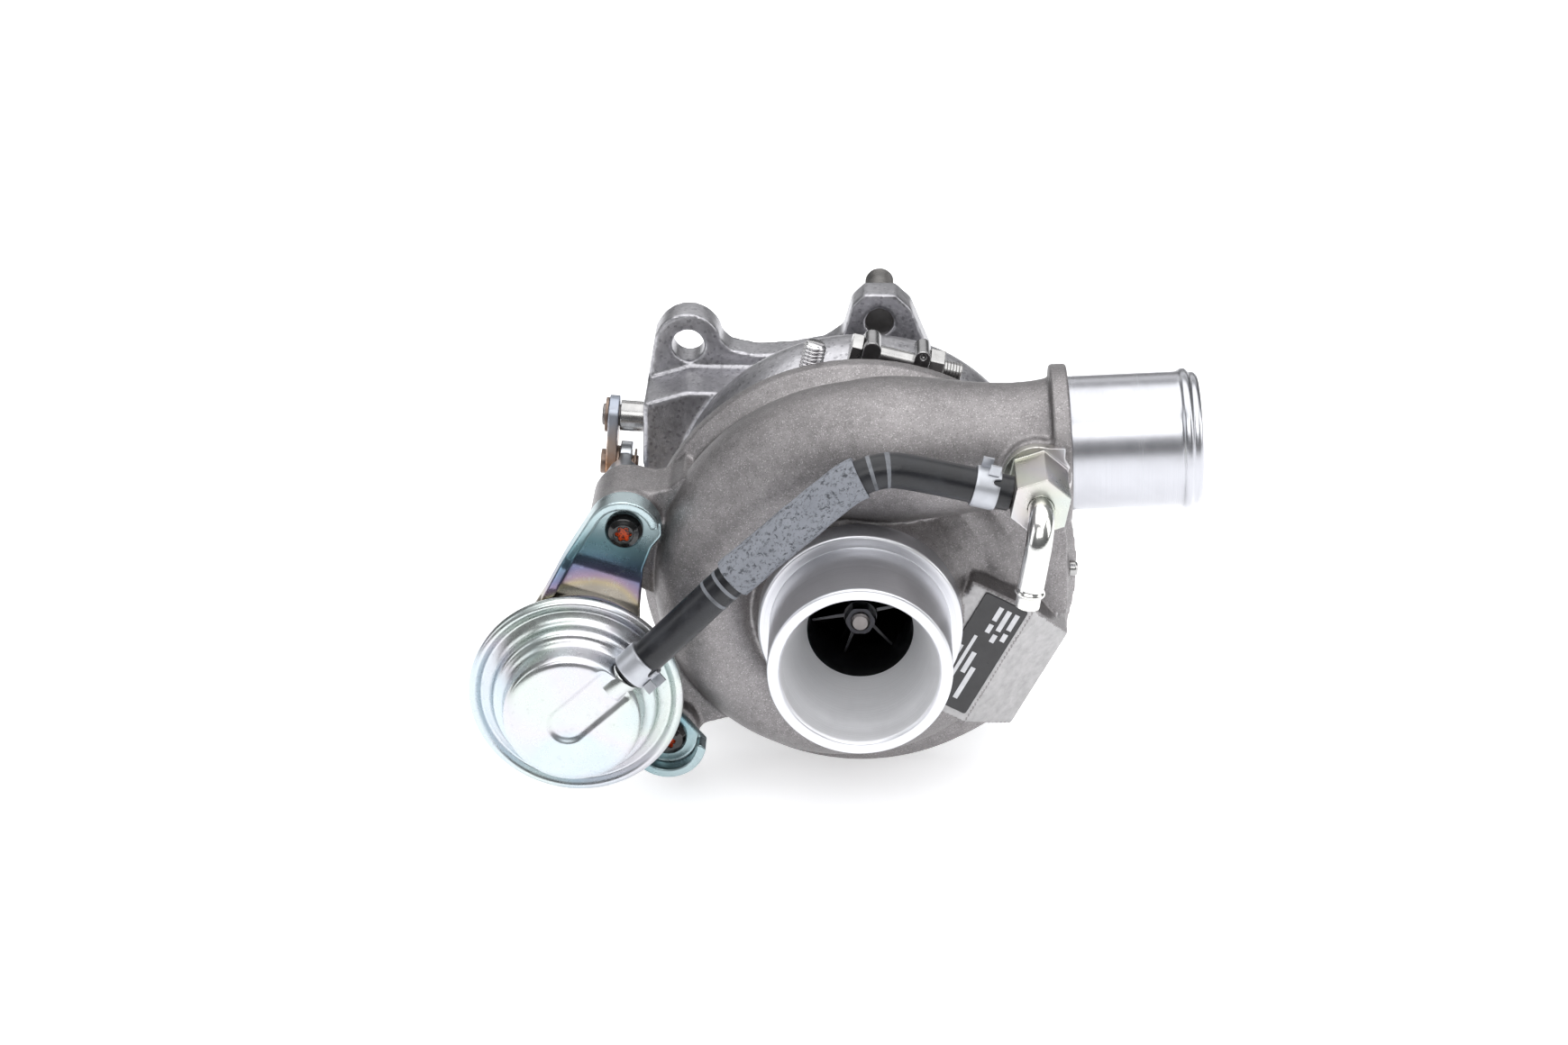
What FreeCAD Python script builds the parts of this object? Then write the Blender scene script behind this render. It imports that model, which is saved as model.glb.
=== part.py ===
# Turbocharger with pneumatic wastegate actuator, built as separate pieces.
# Millimetres.  Everything is drawn about the shaft axis (the Y axis, compressor
# inlet face at y = 0, turbine end at +y, floor at negative z) and then shifted
# so that the origin is the centre of the turbine inlet flange gasket face.
import FreeCAD, Part
import math, os
from FreeCAD import Vector as V

# ------------------------------------------------------------------ dimensions
SHIFT = V(32.0, -102.0, 58.0)        # shaft frame -> part frame

# compressor housing
INLET_R, INLET_LIP_R, THROAT_R = 23.0, 20.2, 12.9
COLLAR_R, COLLAR_Y = 26.0, 23.6
RIM_R, RIM_Y0, RIM_Y1 = 57.7, 59.2, 64.1
DIFF_FRONT, DIFF_BACK = 54.2, 56.7   # diffuser walls
WALL = 3.0
DUCT_TILT = 3.4                      # degrees, outlet rises to the right
DUCT_Y, DUCT_Z0 = 42.0, 40.9
DUCT_R, DUCT_BORE = 17.3, 14.6
PIPE_R = 16.9                        # machined outlet pipe
EAR_U = (-60.4, 20.7)                # bracket screw positions (x, z)
EAR_L = (-50.1, -39.3)
LUG_Y = 40.0
M6 = 3.0
FIT = 0.03                           # radial running / screw clearance

# rotor
COMP_R, IND_R = 17.55, 12.55
STUB_R, JOURNAL_R = 2.5, 3.5
TURB_R, EXD_R = 18.0, 15.4
BEAR_OR = 5.95
BORE_R = 6.0

# turbine side
VB_R = 45.0                          # V-band flange radius
TSC_Y = 91.0                         # turbine scroll centre plane
FL_Y0, FL_Y1 = 116.0, 126.4          # outlet flange
INF_X, INF_Y = -32.0, 102.0          # inlet flange centre
INF_T = 9.0
HOLE_TL, STUD_TR = (-48.2, 39.4), (4.4, 46.8)
HOLE_LR, STUD_LL = (31.0, -47.0), (-6.0, -38.0)

# wastegate
TILT = math.radians(3.7)
WAX = V(math.cos(TILT), 0, -math.sin(TILT))       # spindle direction
WDN = V(-math.sin(TILT), 0, -math.cos(TILT))      # "down" in the lever plane
WY = 110.0
WP = V(-60.1, WY, 20.6)                           # spindle leaves the housing here
LEVER = 13.2
REST = math.radians(-12.0)
SPINDLE_R = 3.0
PORT_X, PORT_Z, SEAT_Y = -34.0, 1.5, 108.0

# actuator
ACT = (-71.7, -14.9)
CAP_Y, CAN_BACK = 0.3, 32.5
ROD_R = 3.0
NIP_DIR = math.radians(43.0)

# hose
HOSE_R, HOSE_IR = 4.4, 2.8
ROUTE = [(-57.6, 4.15, -3.3), (-45.0, 5.1, 9.0), (-32.0, 6.4, 22.2), (-15.6, 8.7, 36.4),
         (1.6, 11.2, 50.8), (17.0, 12.7, 47.9), (36.1, 13.0, 43.2)]
SLEEVE_R = 5.3

# union and signal pipe
UN = (43.2, 43.0)                                  # x, z of the union axis
SIG = [(43.2, 12.0, 42.8), (43.2, -4.0, 42.8), (40.2, -4.0, 21.0)]
SIG_R = 3.2


# --------------------------------------------------------------------- helpers
def rev(pts, cx=0.0, cz=0.0):
    w = Part.makePolygon([V(r, y, 0) for r, y in pts] + [V(pts[0][0], pts[0][1], 0)])
    s = Part.Face(w).revolve(V(0, 0, 0), V(0, 1, 0), 360)
    s.translate(V(cx, 0, cz))
    return s


def cyl(r, p0, p1):
    p0, p1 = V(*p0), V(*p1)
    return Part.makeCylinder(r, (p1 - p0).Length, p0, p1 - p0)


def cyly(r, y0, y1, x=0.0, z=0.0):
    return Part.makeCylinder(r, y1 - y0, V(x, y0, z), V(0, 1, 0))


def tube(ro, ri, y0, y1, x=0.0, z=0.0):
    return cyly(ro, y0, y1, x, z).cut(cyly(ri, y0 - 1, y1 + 1, x, z))


def box(x0, x1, y0, y1, z0, z1):
    return Part.makeBox(x1 - x0, y1 - y0, z1 - z0, V(x0, y0, z0))


def prism(pts, y0, y1):
    w = Part.makePolygon([V(x, y0, z) for x, z in pts] + [V(pts[0][0], y0, pts[0][1])])
    return Part.Face(w).extrude(V(0, y1 - y0, 0))


def orient(s, o, d, frm=V(0, 1, 0)):
    s = s.copy()
    s.Placement = FreeCAD.Placement(V(*o), FreeCAD.Rotation(frm, V(*d))).multiply(s.Placement)
    return s


def hexa(af, o, d, length, twist=0.0):
    """Hexagonal prism from o along d."""
    r = af / math.sqrt(3.0)
    pts = [V(r * math.cos(math.radians(60 * i + twist)), 0, r * math.sin(math.radians(60 * i + twist)))
           for i in range(7)]
    pts[6] = pts[0]
    s = Part.Face(Part.makePolygon(pts)).extrude(V(0, length, 0))
    return orient(s, o, d)


def hull2(c0, r0, c1, r1, y0, y1):
    """Two circles in the XZ plane and their outer tangents, as a prism."""
    (x0, z0), (x1, z1) = c0, c1
    dx, dz = x1 - x0, z1 - z0
    L = math.hypot(dx, dz)
    a = math.atan2(dz, dx)
    b = math.acos((r0 - r1) / L)
    q = [(x0 + r0 * math.cos(a + b), z0 + r0 * math.sin(a + b)),
         (x1 + r1 * math.cos(a + b), z1 + r1 * math.sin(a + b)),
         (x1 + r1 * math.cos(a - b), z1 + r1 * math.sin(a - b)),
         (x0 + r0 * math.cos(a - b), z0 + r0 * math.sin(a - b))]
    return prism(q, y0, y1).fuse([cyly(r0, y0, y1, x0, z0), cyly(r1, y0, y1, x1, z1)]).removeSplitter()


def route(pts, k=0.45):
    P = [V(*p) for p in pts]
    edges, radii, prev = [], [], P[0]
    for i in range(1, len(P) - 1):
        a, b = P[i - 1] - P[i], P[i + 1] - P[i]
        t = k * min(a.Length, b.Length)
        a.normalize()
        b.normalize()
        half = (math.pi - a.getAngle(b)) / 2.0
        r = t / math.tan(half)
        t1, t2 = P[i] + a * t, P[i] + b * t
        bis = a + b
        bis.normalize()
        c = P[i] + bis * (r / math.cos(half))
        edges.append(Part.LineSegment(prev, t1).toShape())
        edges.append(Part.Arc(t1, c - bis * r, t2).toShape())
        prev = t2
        radii.append(round(r, 1))
    edges.append(Part.LineSegment(prev, P[-1]).toShape())
    return Part.Wire(edges), radii


def sweep(wire, r, p0, d0):
    c = Part.Wire([Part.makeCircle(r, V(*p0), d0)])
    return wire.makePipeShell([c], True, False)


def ring_wire(Rc, Yc, r, ang, n=0):
    """Circle of radius r in the radial plane at angle ang (degrees, +X to +Z)."""
    w = Part.Wire([Part.makeCircle(r, V(Rc, Yc, 0), V(0, 0, 1))])
    w.rotate(V(0, 0, 0), V(0, 1, 0), -ang)
    return w


def polar(a, r):
    return (r * math.cos(math.radians(a)), r * math.sin(math.radians(a)))


def blades(hub, shr, theta, th, n, phase=0.0, root=0.5):
    """Thin twisted blades lofted through matching hub and shroud stations."""
    out = []
    for i in range(n):
        base = 2 * math.pi * i / n + phase
        ws = []
        for (rh, yh), (rs, ys), t in zip(hub, shr, theta):
            a = base + math.radians(t)
            dr, dy = rs - rh, ys - yh
            L = math.hypot(dr, dy)
            rh2, yh2 = rh - dr / L * root, yh - dy / L * root
            ca, sa = math.cos(a), math.sin(a)
            tx, tz = -sa, ca
            p = []
            for (r, y, s, w) in ((rh2, yh2, -1, th * 1.25), (rs, ys, -1, th * 0.8), (rs, ys, 1, th * 0.8), (rh2, yh2, 1, th * 1.25)):
                p.append(V(r * ca + s * tx * w / 2, y, r * sa + s * tz * w / 2))
            ws.append(Part.makePolygon(p + [p[0]]))
        out.append(Part.makeLoft(ws, True, True))
    return out


NODES = {}


def add(name, shape):
    if shape.ShapeType != "Compound" or len(shape.Solids) == 1:
        clean = shape.removeSplitter()
        if clean.isValid() and (not shape.isValid() or abs(clean.Volume - shape.Volume) < 1.0):
            shape = clean
    NODES[name] = shape


# ===================================================== turbine housing
def tscr(phi):
    """phi runs clockwise from the inlet at the left (180 degrees)."""
    ri = 11.8 - 7.0 * phi / 330.0
    ro = 17.4 - 7.6 * phi / 330.0
    outer = 52.3 if phi < 120 else 52.3 - 10.5 * (phi - 120) / 210.0
    return ri, ro, outer - ro


so, si = [], []
for k in range(12):
    phi = 330.0 * k / 11
    ri_, ro_, rc_ = tscr(phi)
    so.append(ring_wire(rc_, TSC_Y, ro_, 180 - phi))
    si.append(ring_wire(rc_, TSC_Y, ri_, 180 - phi))
tsc_o = Part.makeLoft(so, True, False)
tsc_i = Part.makeLoft(si, True, False)


def sq(cx, cy, z, hx, hy, n, m=24):
    pts = []
    for i in range(m):
        t = 2 * math.pi * i / m
        c, s = math.cos(t), math.sin(t)
        pts.append(V(cx + hx * math.copysign(abs(c) ** (2.0 / n), c), cy + hy * math.copysign(abs(s) ** (2.0 / n), s), z))
    b = Part.BSplineCurve()
    b.interpolate(pts, PeriodicFlag=True)
    return Part.Wire([b.toShape()])


ri0, ro0, rc0 = tscr(0)
ZF = -58.0
run_o = Part.makeLoft([sq(INF_X, INF_Y, ZF + 4.0, 19.5, 14.6, 4), sq(INF_X - 0.2, INF_Y - 1.5, ZF + 16, 19.0, 15.0, 3.2),
                       sq(-33.6, 96.0, -26, 18.0, 17.2, 2.4), sq(-rc0, TSC_Y, -1.5, ro0 + 0.15, ro0 + 0.15, 2), sq(-rc0, TSC_Y, 6.5, ro0 - 1.1, ro0 - 1.1, 2)], True, False)
run_i = Part.makeLoft([sq(INF_X, INF_Y, ZF - 1.0, 14.5, 9.6, 4), sq(INF_X - 0.2, INF_Y - 1.5, ZF + 16, 14.0, 10.0, 3.2),
                       sq(-33.6, 96.0, -26, 13.0, 12.2, 2.4), sq(-rc0, TSC_Y, -1.5, ri0 + 0.15, ri0 + 0.15, 2), sq(-rc0, TSC_Y, 6.5, ri0 - 1.1, ri0 - 1.1, 2)], True, False)
in_fl = box(INF_X - 31, INF_X + 31, INF_Y - 18, INF_Y + 18, ZF, ZF + INF_T)
in_fl = in_fl.makeFillet(7.0, [e for e in in_fl.Edges if abs(e.Vertexes[0].Point.z - e.Vertexes[-1].Point.z) > 5])
front = rev([(0, 76.4), (VB_R, 76.4), (VB_R, 78.1), (VB_R - 4.0, 80.0), (38.0, 82.0), (36.0, 88.0), (30, 100), (24.5, 104.0), (21.0, 110.0),
             (21.0, 121.0), (0, 121.0)])
flange_pts = [(-57.3, 42.5), (-59.2, 31.0), (-60.4, 24.0), (-60.4, 12.0), (-56.5, -10.0), (-46.0, -24.0), (-30.0, -33.0), (-16.0, -40.5), (-9.5, -47.0), (-3.0, -47.2),
              (4.0, -43.0), (20.0, -46.0), (23.5, -55.0), (31.0, -57.9), (38.5, -53.5), (41.0, -46.0), (40.5, -30.0), (36.0, 0.0), (20.5, 33.0), (13.0, 51.0),
              (8.6, 55.0), (0.2, 55.0), (-3.2, 51.6), (-5.6, 43.0), (-10.5, 39.4), (-20.0, 37.4), (-29.5, 36.9), (-36.5, 38.4), (-40.2, 42.0)]
fl = prism(flange_pts, FL_Y0, FL_Y1).fuse([cyly(9.3, FL_Y0, FL_Y1, *HOLE_TL), cyly(10.9, FL_Y0, FL_Y1, 31.0, -47.0)])
# wastegate chamber walls between scroll and flange, and the spindle boss
cham_o = prism([(-59.6, 29.5), (-60.0, 12.0), (-56.0, -10.0), (-46.0, -22.0), (-20.0, -22.0), (-8, 22), (-16, 33.0), (-48, 33.0)], 98.0, FL_Y0 + 1)
boss = Part.makeCylinder(6.4, 16.0, WP + WAX * 0.2, WAX)
# room for the V-band behind the flange
vb_room = rev([(45.03, 69.0), (45.03, 78.13), (42.8, 79.18), (43.7, 80.95), (46.5, 81.3), (49.6, 81.3), (49.6, 69.0)])
vb_room = vb_room.fuse(rev([(0, 69.0), (45.1, 69.0), (45.1, 76.4), (0, 76.4)]))
vb_room.rotate(V(0, 0, 0), V(0, 1, 0), -20)
webs = prism([(-6, 30), (12, 34), (22, 26), (34, 0), (36, -30), (28, -44), (-4, -36), (-20, -20), (-10, 0)], 110.0, FL_Y0 + 1)
void = tsc_i.fuse(run_i)
front.rotate(V(0, 0, 0), V(0, 1, 0), -33)
th = tsc_o.fuse(run_o).fuse(front).fuse(in_fl).fuse(fl).fuse(cham_o).fuse(boss).fuse(webs)
cav_pts = [(-52.5, 26.0), (-53.5, 8.0), (-51.0, -7.0), (-43.0, -15.5), (-22.0, -15.5), (-12.0, -12.0), (-10.0, 20.0), (-16.0, 26.5)]
cav = prism(cav_pts, SEAT_Y - 1.0, FL_Y1 + 1)
t_bore = rev([(0, 75.0), (24.65, 75.0), (24.65, 86.85), (22.5, 88.6), (18.5, 90.0), (18.35, 97.0), (16.8, 98.7), (16.1, 100.5), (15.8, 103.0),
              (15.8, 111.0), (17.5, 116.0), (17.5, 128.0), (0, 128.0)])
nozzle = rev([(17.0, 90.4), (29.0, 88.4), (29.0, 96.0), (17.0, 96.9)])
nose = rev([(0, 75.9), (31.05, 75.9), (31.05, 78.62), (0, 78.62)])
for q_ in (t_bore, nozzle, nose):
    q_.rotate(V(0, 0, 0), V(0, 1, 0), -57)
th = th.cut(vb_room).cut(void).cut(t_bore).cut(nozzle).cut(nose)
# keep the scroll's rear wall under the wastegate seat, then open the chamber behind it
th = th.cut(cav)
seat = tube(10.6, 7.4, SEAT_Y - 1.6, SEAT_Y, PORT_X, PORT_Z)
floor_ = cyly(13.0, 101.0, SEAT_Y - 1.0, PORT_X, PORT_Z)
th = th.fuse(floor_.cut(tsc_i)).fuse(seat).cut(cyly(7.4, 94.0, SEAT_Y + 1, PORT_X, PORT_Z))
rim_cut = rev([(0, 112), (15.8, 112), (17.5, 116.0), (17.5, 128.0), (0, 128.0)])
th = th.cut(rim_cut).cut(Part.makeCylinder(4.32, 17.4, WP - WAX * 4.0, WAX))
for (hx, hz), r in ((HOLE_TL, 4.5), (STUD_TR, 3.8 + FIT), (HOLE_LR, 4.5), (STUD_LL, 3.8 + FIT)):
    th = th.cut(cyly(r, FL_Y0 - 6, FL_Y1 + 2, hx, hz))
for hx, hz in (STUD_TR, STUD_LL):                        # lead-in at the face, so a flange sits flat over the studs
    th = th.cut(rev([(0, FL_Y1 - 0.7), (3.8 + FIT, FL_Y1 - 0.7), (4.5, FL_Y1 - 0.02), (4.5, FL_Y1 + 1.0), (0, FL_Y1 + 1.0)], hx, hz))
for sx in (-1, 1):
    for sy in (-1, 1):
        th = th.cut(cyl(4.2, (INF_X + 24 * sx, INF_Y + 11 * sy, ZF - 2), (INF_X + 24 * sx, INF_Y + 11 * sy, ZF + INF_T + 9)))
# the outlet flange and the inlet foot are kept as nodes of their own
zone_o = box(-90, 90, FL_Y0, 140, -90, 90).cut([box(-70, -10, 100, 124, -60, -46.6), box(-10.5, 0, 100, 124, -60, -47.3)])
zone_i = box(-80, 3, 60, 124, ZF - 5, ZF + INF_T)
NODES["turbine_outlet_plate"] = th.common(zone_o)
th = th.cut(zone_o)
NODES["turbine_inlet_foot"] = th.common(zone_i)
NODES["turbine_housing"] = th.cut(zone_i)


# ===================================================== compressor housing
dd = V(math.cos(math.radians(DUCT_TILT)), 0, math.sin(math.radians(DUCT_TILT)))
dpt = lambda s: V(0, DUCT_Y, DUCT_Z0) + dd * s


def scr(phi):
    ri = 5.2 + 9.4 * (phi / 330.0) ** 1.35
    return ri, 31.0 + 0.72 * ri, DIFF_BACK - ri + 0.02


secs_o, secs_i = [], []
for k in range(12):
    phi = 330.0 * k / 11
    ri, Rc, Yc = scr(phi)
    ang = 60.0 - phi
    secs_o.append(ring_wire(Rc, Yc, ri + WALL, ang))
    secs_i.append(ring_wire(Rc, Yc, ri, ang))
scroll_o = Part.makeLoft(secs_o, True, False)
scroll_i = Part.makeLoft(secs_i, True, False)
ri, Rc, Yc = scr(330.0)


def duct(r0, r1, s0, s1):
    c0 = V(0, Yc, Rc)
    w = [Part.Wire([Part.makeCircle(r0 - 1.0, c0 + dd * s0, dd)]),
         Part.Wire([Part.makeCircle(r0 + 0.45, c0 + dd * 0.8, dd)]),
         Part.Wire([Part.makeCircle((r0 + r1) / 2, (c0 + dpt(0)) * 0.5 + dd * 20, dd)]),
         Part.Wire([Part.makeCircle(r1, dpt(s1), dd)])]
    return Part.makeLoft(w, True, False)


duct_o = duct(ri + WALL, DUCT_R, -6.0, 49.5)
duct_i = duct(ri, DUCT_BORE, -6.0, 48.0)

body = rev([(0, 20), (COLLAR_R - 1.0, 28), (COLLAR_R - 1.0, 31), (27, 35), (30.5, 40), (38, 45.5), (50, 48.6), (53.2, 50.4),
            (54.0, 55.4), (56.6, 58.3), (RIM_R, RIM_Y0), (RIM_R, RIM_Y1 - 0.6), (RIM_R - 0.6, RIM_Y1), (0, RIM_Y1)])
spigot = rev([(0, 0.4), (INLET_R - 0.5, 0), (INLET_R, 0.5), (INLET_R, COLLAR_Y), (COLLAR_R - 0.4, COLLAR_Y),
              (COLLAR_R, COLLAR_Y + 0.4), (COLLAR_R, 29.6), (0, 29.6)])
collar = orient(rev([(0, 0), (19.6, 0), (20.1, 0.5), (20.1, 4.0), (19.7, 4.4), (0, 4.4)]), dpt(47.6), dd)
lug_u = cyly(9.3, LUG_Y, 58.0, *EAR_U)
lug_u = lug_u.fuse(prism([(EAR_U[0] - 4.5, EAR_U[1] + 8.1), (EAR_U[0] + 0.9, EAR_U[1] + 9.25), (-53.5, 28.6), (-49.0, 29.6), (-45.5, 33.0), (-40, 30), (-38, 22), (-46, -4),
                          (-57.5, 1.5), (EAR_U[0] - 7.4, EAR_U[1] - 5.6)], 42.5, 58.0))
lug_l = cyly(7.8, LUG_Y, 58.0, *EAR_L)
lug_l = lug_l.fuse(prism([(EAR_L[0] - 6.6, EAR_L[1] + 4.0), (-54.0, -19.0), (-38, -18), (-26, -35), (-34.0, -37.6), (-41.0, -39.6),
                          (EAR_L[0] + 6.0, EAR_L[1] - 4.6)], 44.5, 58.0))
# cast pad for the identification plate
e1 = V(-0.46, 0, -0.888)
e2 = V(0.888, 0, -0.46)
PB = V(43.3, 33.0, 0.8)
padpts = [PB + e2 * a + V(0, y - 33.0, 0) - e1 * 0.8 for a, y in ((-17, 33.0), (0.9, 33.0), (15.3, 45.0), (15.3, 55.0), (-17, 55.0))]
pad = Part.Face(Part.makePolygon(padpts + [padpts[0]])).extrude(e1 * 37.4)
wedge = [PB + e2 * a + e1 * b for a, b in ((2, -2), (18, -2), (18, 6.7), (2, -0.4))]
pad = pad.cut(prism([(p.x, p.z) for p in wedge], 30, 58))
# boss under the union, and the boss of the small plug screw
uboss = cyly(9.0, 24.6, 40.0, UN[0], UN[1]).fuse(box(UN[0], UN[0] + 7.4, 24.6, 40.0, UN[1], UN[1] + 8.6))
pboss = cyl(3.4, (40, 55.6, 2.2), (54.5, 55.6, 2.2))
rib = prism([(30, 30), (49.5, 38), (53.0, 14), (54.0, -6), (40, -6)], 45.0, 57.5)
housing = body.fuse([spigot, scroll_o, duct_o, collar, lug_u, lug_l, pad, uboss, pboss, rib])
# hollow: bell mouth, shroud line, diffuser, scroll, duct, rear seat
inlet_cut = rev([(0, -1), (INLET_LIP_R, -1), (INLET_LIP_R, 0.0), (INLET_LIP_R - 0.6, 0.7), (18.9, 4.5), (16.6, 12.5), (14.6, 19.5), (13.3, 24.0),
                 (THROAT_R, 25.6), (THROAT_R, 37.0), (13.25, 42.0), (14.2, 47.0), (15.7, 50.8), (17.9, 53.6), (19.4, DIFF_FRONT),
                 (33.0, DIFF_FRONT), (33.0, DIFF_BACK + 0.01), (0, DIFF_BACK + 0.01)])
rear_cut = rev([(0, DIFF_BACK), (48.05, DIFF_BACK), (48.05, 60.3), (50.2, 60.3), (50.2, 61.9), (48.05, 61.9), (48.05, 65), (0, 65)])
pipe_seat = orient(cyly(16.0, 0, 10), dpt(47.4), dd)
housing = housing.cut([inlet_cut, scroll_i, duct_i, rear_cut, pipe_seat,
                       cyly(M6 + FIT, LUG_Y - 1, 54.0, *EAR_U), cyly(M6 + FIT, LUG_Y - 1, 54.0, *EAR_L),
                       cyly(4.0 + FIT, 20.0, 34.0, UN[0], UN[1]),
                       cyl(1.2 + FIT, (50.6, 55.6, 2.2), (60, 55.6, 2.2)),
                       box(55.0, 75, 58.6, 70, -27, 27), box(-20.5, 20.5, 61.95, 66, -60, -43.0),
                       cyl(2.5, (54.5, 55.6, 2.2), (60, 55.6, 2.2)), orient(cyly(17.1, 0, 4), dpt(52.0), dd),
                       cyly(8.7, 8.0, 24.62, UN[0], UN[1]), box(UN[0], UN[0] + 6.75, 8.0, 24.62, UN[1], UN[1] + 8.35)])
pc0 = PB - e2 * 12.9 + V(0, -3.0, 0) - e1 * 0.1
pocket = Part.Face(Part.makePolygon([pc0, pc0 + e2 * 12.9, pc0 + e2 * 12.9 + e1 * 34.2, pc0 + e1 * 34.2, pc0])).extrude(V(0, 3.0, 0))
housing = housing.cut(pocket)
zone_s = cyly(26.5, -2.0, COLLAR_Y)
add("compressor_inlet_spigot", housing.common(zone_s))
housing = housing.cut(zone_s)
add("compressor_housing", housing)

# machined outlet pipe, pressed into the duct collar
add("outlet_pipe", orient(rev([(DUCT_BORE, 47.6), (15.97, 47.6), (15.97, 52.0), (PIPE_R, 52.0), (PIPE_R, 79.6), (PIPE_R + 0.75, 80.6),
                               (PIPE_R + 0.75, 81.6), (PIPE_R - 0.25, 82.4), (PIPE_R - 0.25, 83.9), (PIPE_R - 0.95, 84.5), (DUCT_BORE + 0.6, 84.5),
                               (DUCT_BORE, 83.9)]), dpt(0), dd))
# identification plate
c0 = PB - e2 * 12.6 + V(0, -0.55, 0) + e1 * 0.2
plate = Part.Face(Part.makePolygon([c0, c0 + e2 * 12.3, c0 + e2 * 12.3 + e1 * 33.6, c0 + e1 * 33.6, c0])).extrude(V(0, 0.55, 0))
plate = plate.makeFillet(0.8, [e for e in plate.Edges if abs(e.Vertexes[0].Point.y - e.Vertexes[-1].Point.y) > 0.3])
add("identification_plate", plate)
# plug screw on the side of the rim
plug = cyl(1.2, (51.0, 55.6, 2.2), (54.6, 55.6, 2.2)).fuse(orient(rev([(0, 0), (2.0, 0), (2.0, 1.5), (1.6, 2.1), (0, 2.3)]), (54.55, 55.6, 2.2), (1, 0, 0)))
plug = plug.cut(hexa(1.5, (55.7, 55.6, 2.2), (1, 0, 0), 3.0))
add("plug_screw", plug)

# back plate, o-ring and retaining ring
bp = rev([(7.05, DIFF_BACK), (48.0, DIFF_BACK), (48.0, 57.6), (46.6, 57.6), (46.6, 59.2), (48.0, 59.2), (48.0, 60.3), (20.0, 60.3),
          (20.0, 61.0), (7.05, 61.0)])
add("compressor_backplate", bp)
oring = Part.makeTorus(47.32, 0.72, V(0, 58.4, 0), V(0, 1, 0))
add("backplate_o_ring", oring)
snap = tube(50.1, 45.6, 60.35, 61.85).cut(box(-4.5, 4.5, 59, 63, -52, -40))
add("compressor_retaining_ring", snap)

# ===================================================== rotor
hubp = [(4.3, 33.0), (4.5, 37.0), (5.0, 41.5), (6.3, 46.2), (8.7, 50.2), (12.2, 53.2), (17.3, 55.1)]
shrp = [(12.55, 33.4), (12.55, 37.3), (12.88, 42.1), (13.82, 47.15), (15.3, 51.05), (16.75, 53.25), (17.5, 54.35)]
wheel_hub = rev([(STUB_R, 31.2), (4.2, 31.2), (4.3, 32.6), (4.5, 37.0), (5.0, 41.5), (6.3, 46.2), (8.7, 50.2), (12.2, 53.2), (15.0, 54.5),
                 (COMP_R, 55.3), (COMP_R, 56.3), (12.0, 56.35), (6.2, 56.35), (6.2, 56.5), (STUB_R, 56.5)])
full = blades(hubp, shrp, [0, 14, 28, 40, 50, 58, 68], 0.75, 6, 0.2, 0.8)
split = blades(hubp[2:], shrp[2:], [30 + 28, 30 + 40, 30 + 50, 30 + 58, 30 + 68], 0.75, 6, 0.2, 0.8)
wheel = wheel_hub.fuse(full + split)
add("compressor_wheel", wheel)

nut = hexa(7.0, (0, 28.0, 0), (0, 1, 0), 3.2).common(rev([(0, 27.5), (3.2, 27.5), (4.1, 28.4), (4.1, 31.2), (0, 31.2)]))
add("shaft_nut", nut.cut(cyly(STUB_R, 20, 40)))

# shaft welded to turbine wheel
shaft = rev([(0, 26.8), (1.9, 26.8), (STUB_R, 27.4), (STUB_R, 63.6), (JOURNAL_R, 63.6), (JOURNAL_R, 85.5), (6.3, 86.1), (6.3, 86.7),
             (5.2, 86.7), (5.2, 87.9), (6.3, 87.9), (6.3, 89.9), (9.0, 90.3), (TURB_R - 0.8, 90.4), (TURB_R, 90.9), (TURB_R, 91.3),
             (13.5, 93.2), (10.0, 96.6), (7.6, 101.0), (6.0, 106.0), (5.2, 110.0), (4.6, 112.6), (3.4, 113.4), (0, 113.4)])
thub = [(17.4, 91.2), (13.2, 93.4), (9.8, 96.9), (7.5, 101.2), (6.0, 106.0), (5.3, 109.4)]
tshr = [(17.95, 96.6), (16.4, 98.3), (15.7, 100.3), (15.4, 103.0), (15.4, 106.8), (15.4, 110.2)]
tb = blades(thub, tshr, [0, 2, 8, 20, 36, 52], 1.0, 9, 0.2, 0.8)
wheel_t = shaft.fuse(tb)
stubhex = hexa(5.4, (0, 112.0, 0), (0, 1, 0), 3.6)
add("turbine_wheel_shaft", wheel_t.fuse(stubhex))

# thrust collar turns with the shaft; its groove carries the thrust bearing
add("thrust_collar", rev([(STUB_R, 56.5), (6.75, 56.5), (6.75, 57.9), (5.6, 57.9), (5.6, 59.2), (6.75, 59.2), (6.75, 61.08), (7.4, 61.08), (7.4, 61.35),
                          (4.4, 61.35), (4.4, 62.95), (5.6, 62.95), (5.6, 63.6), (STUB_R, 63.6)]))
pr = tube(6.99, 5.75, 58.05, 59.05)
add("compressor_seal_ring", pr.cut(box(-0.25, 0.25, 57, 60, 4, 9)))
pr = tube(7.92, 5.4, 86.85, 87.75)
add("turbine_seal_ring", pr.cut(box(-0.25, 0.25, 86, 89, 4, 9)))
tbz = tube(15.0, 4.8, 61.65, 62.65).cut(box(-4.8, 4.8, 60, 64, -16, 0))
add("thrust_bearing", tbz)
add("journal_bearing_compressor", tube(BEAR_OR, JOURNAL_R + FIT, 65.6, 71.6).cut([cyl(0.8, (-9, 68.6, 0), (9, 68.6, 0)), cyl(0.8, (0, 68.6, -9), (0, 68.6, 9))]))
add("journal_bearing_turbine", tube(BEAR_OR, JOURNAL_R + FIT, 78.0, 84.0).cut([cyl(0.8, (-9, 81, 0), (9, 81, 0)), cyl(0.8, (0, 81, -9), (0, 81, 9))]))
clips = []
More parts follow.
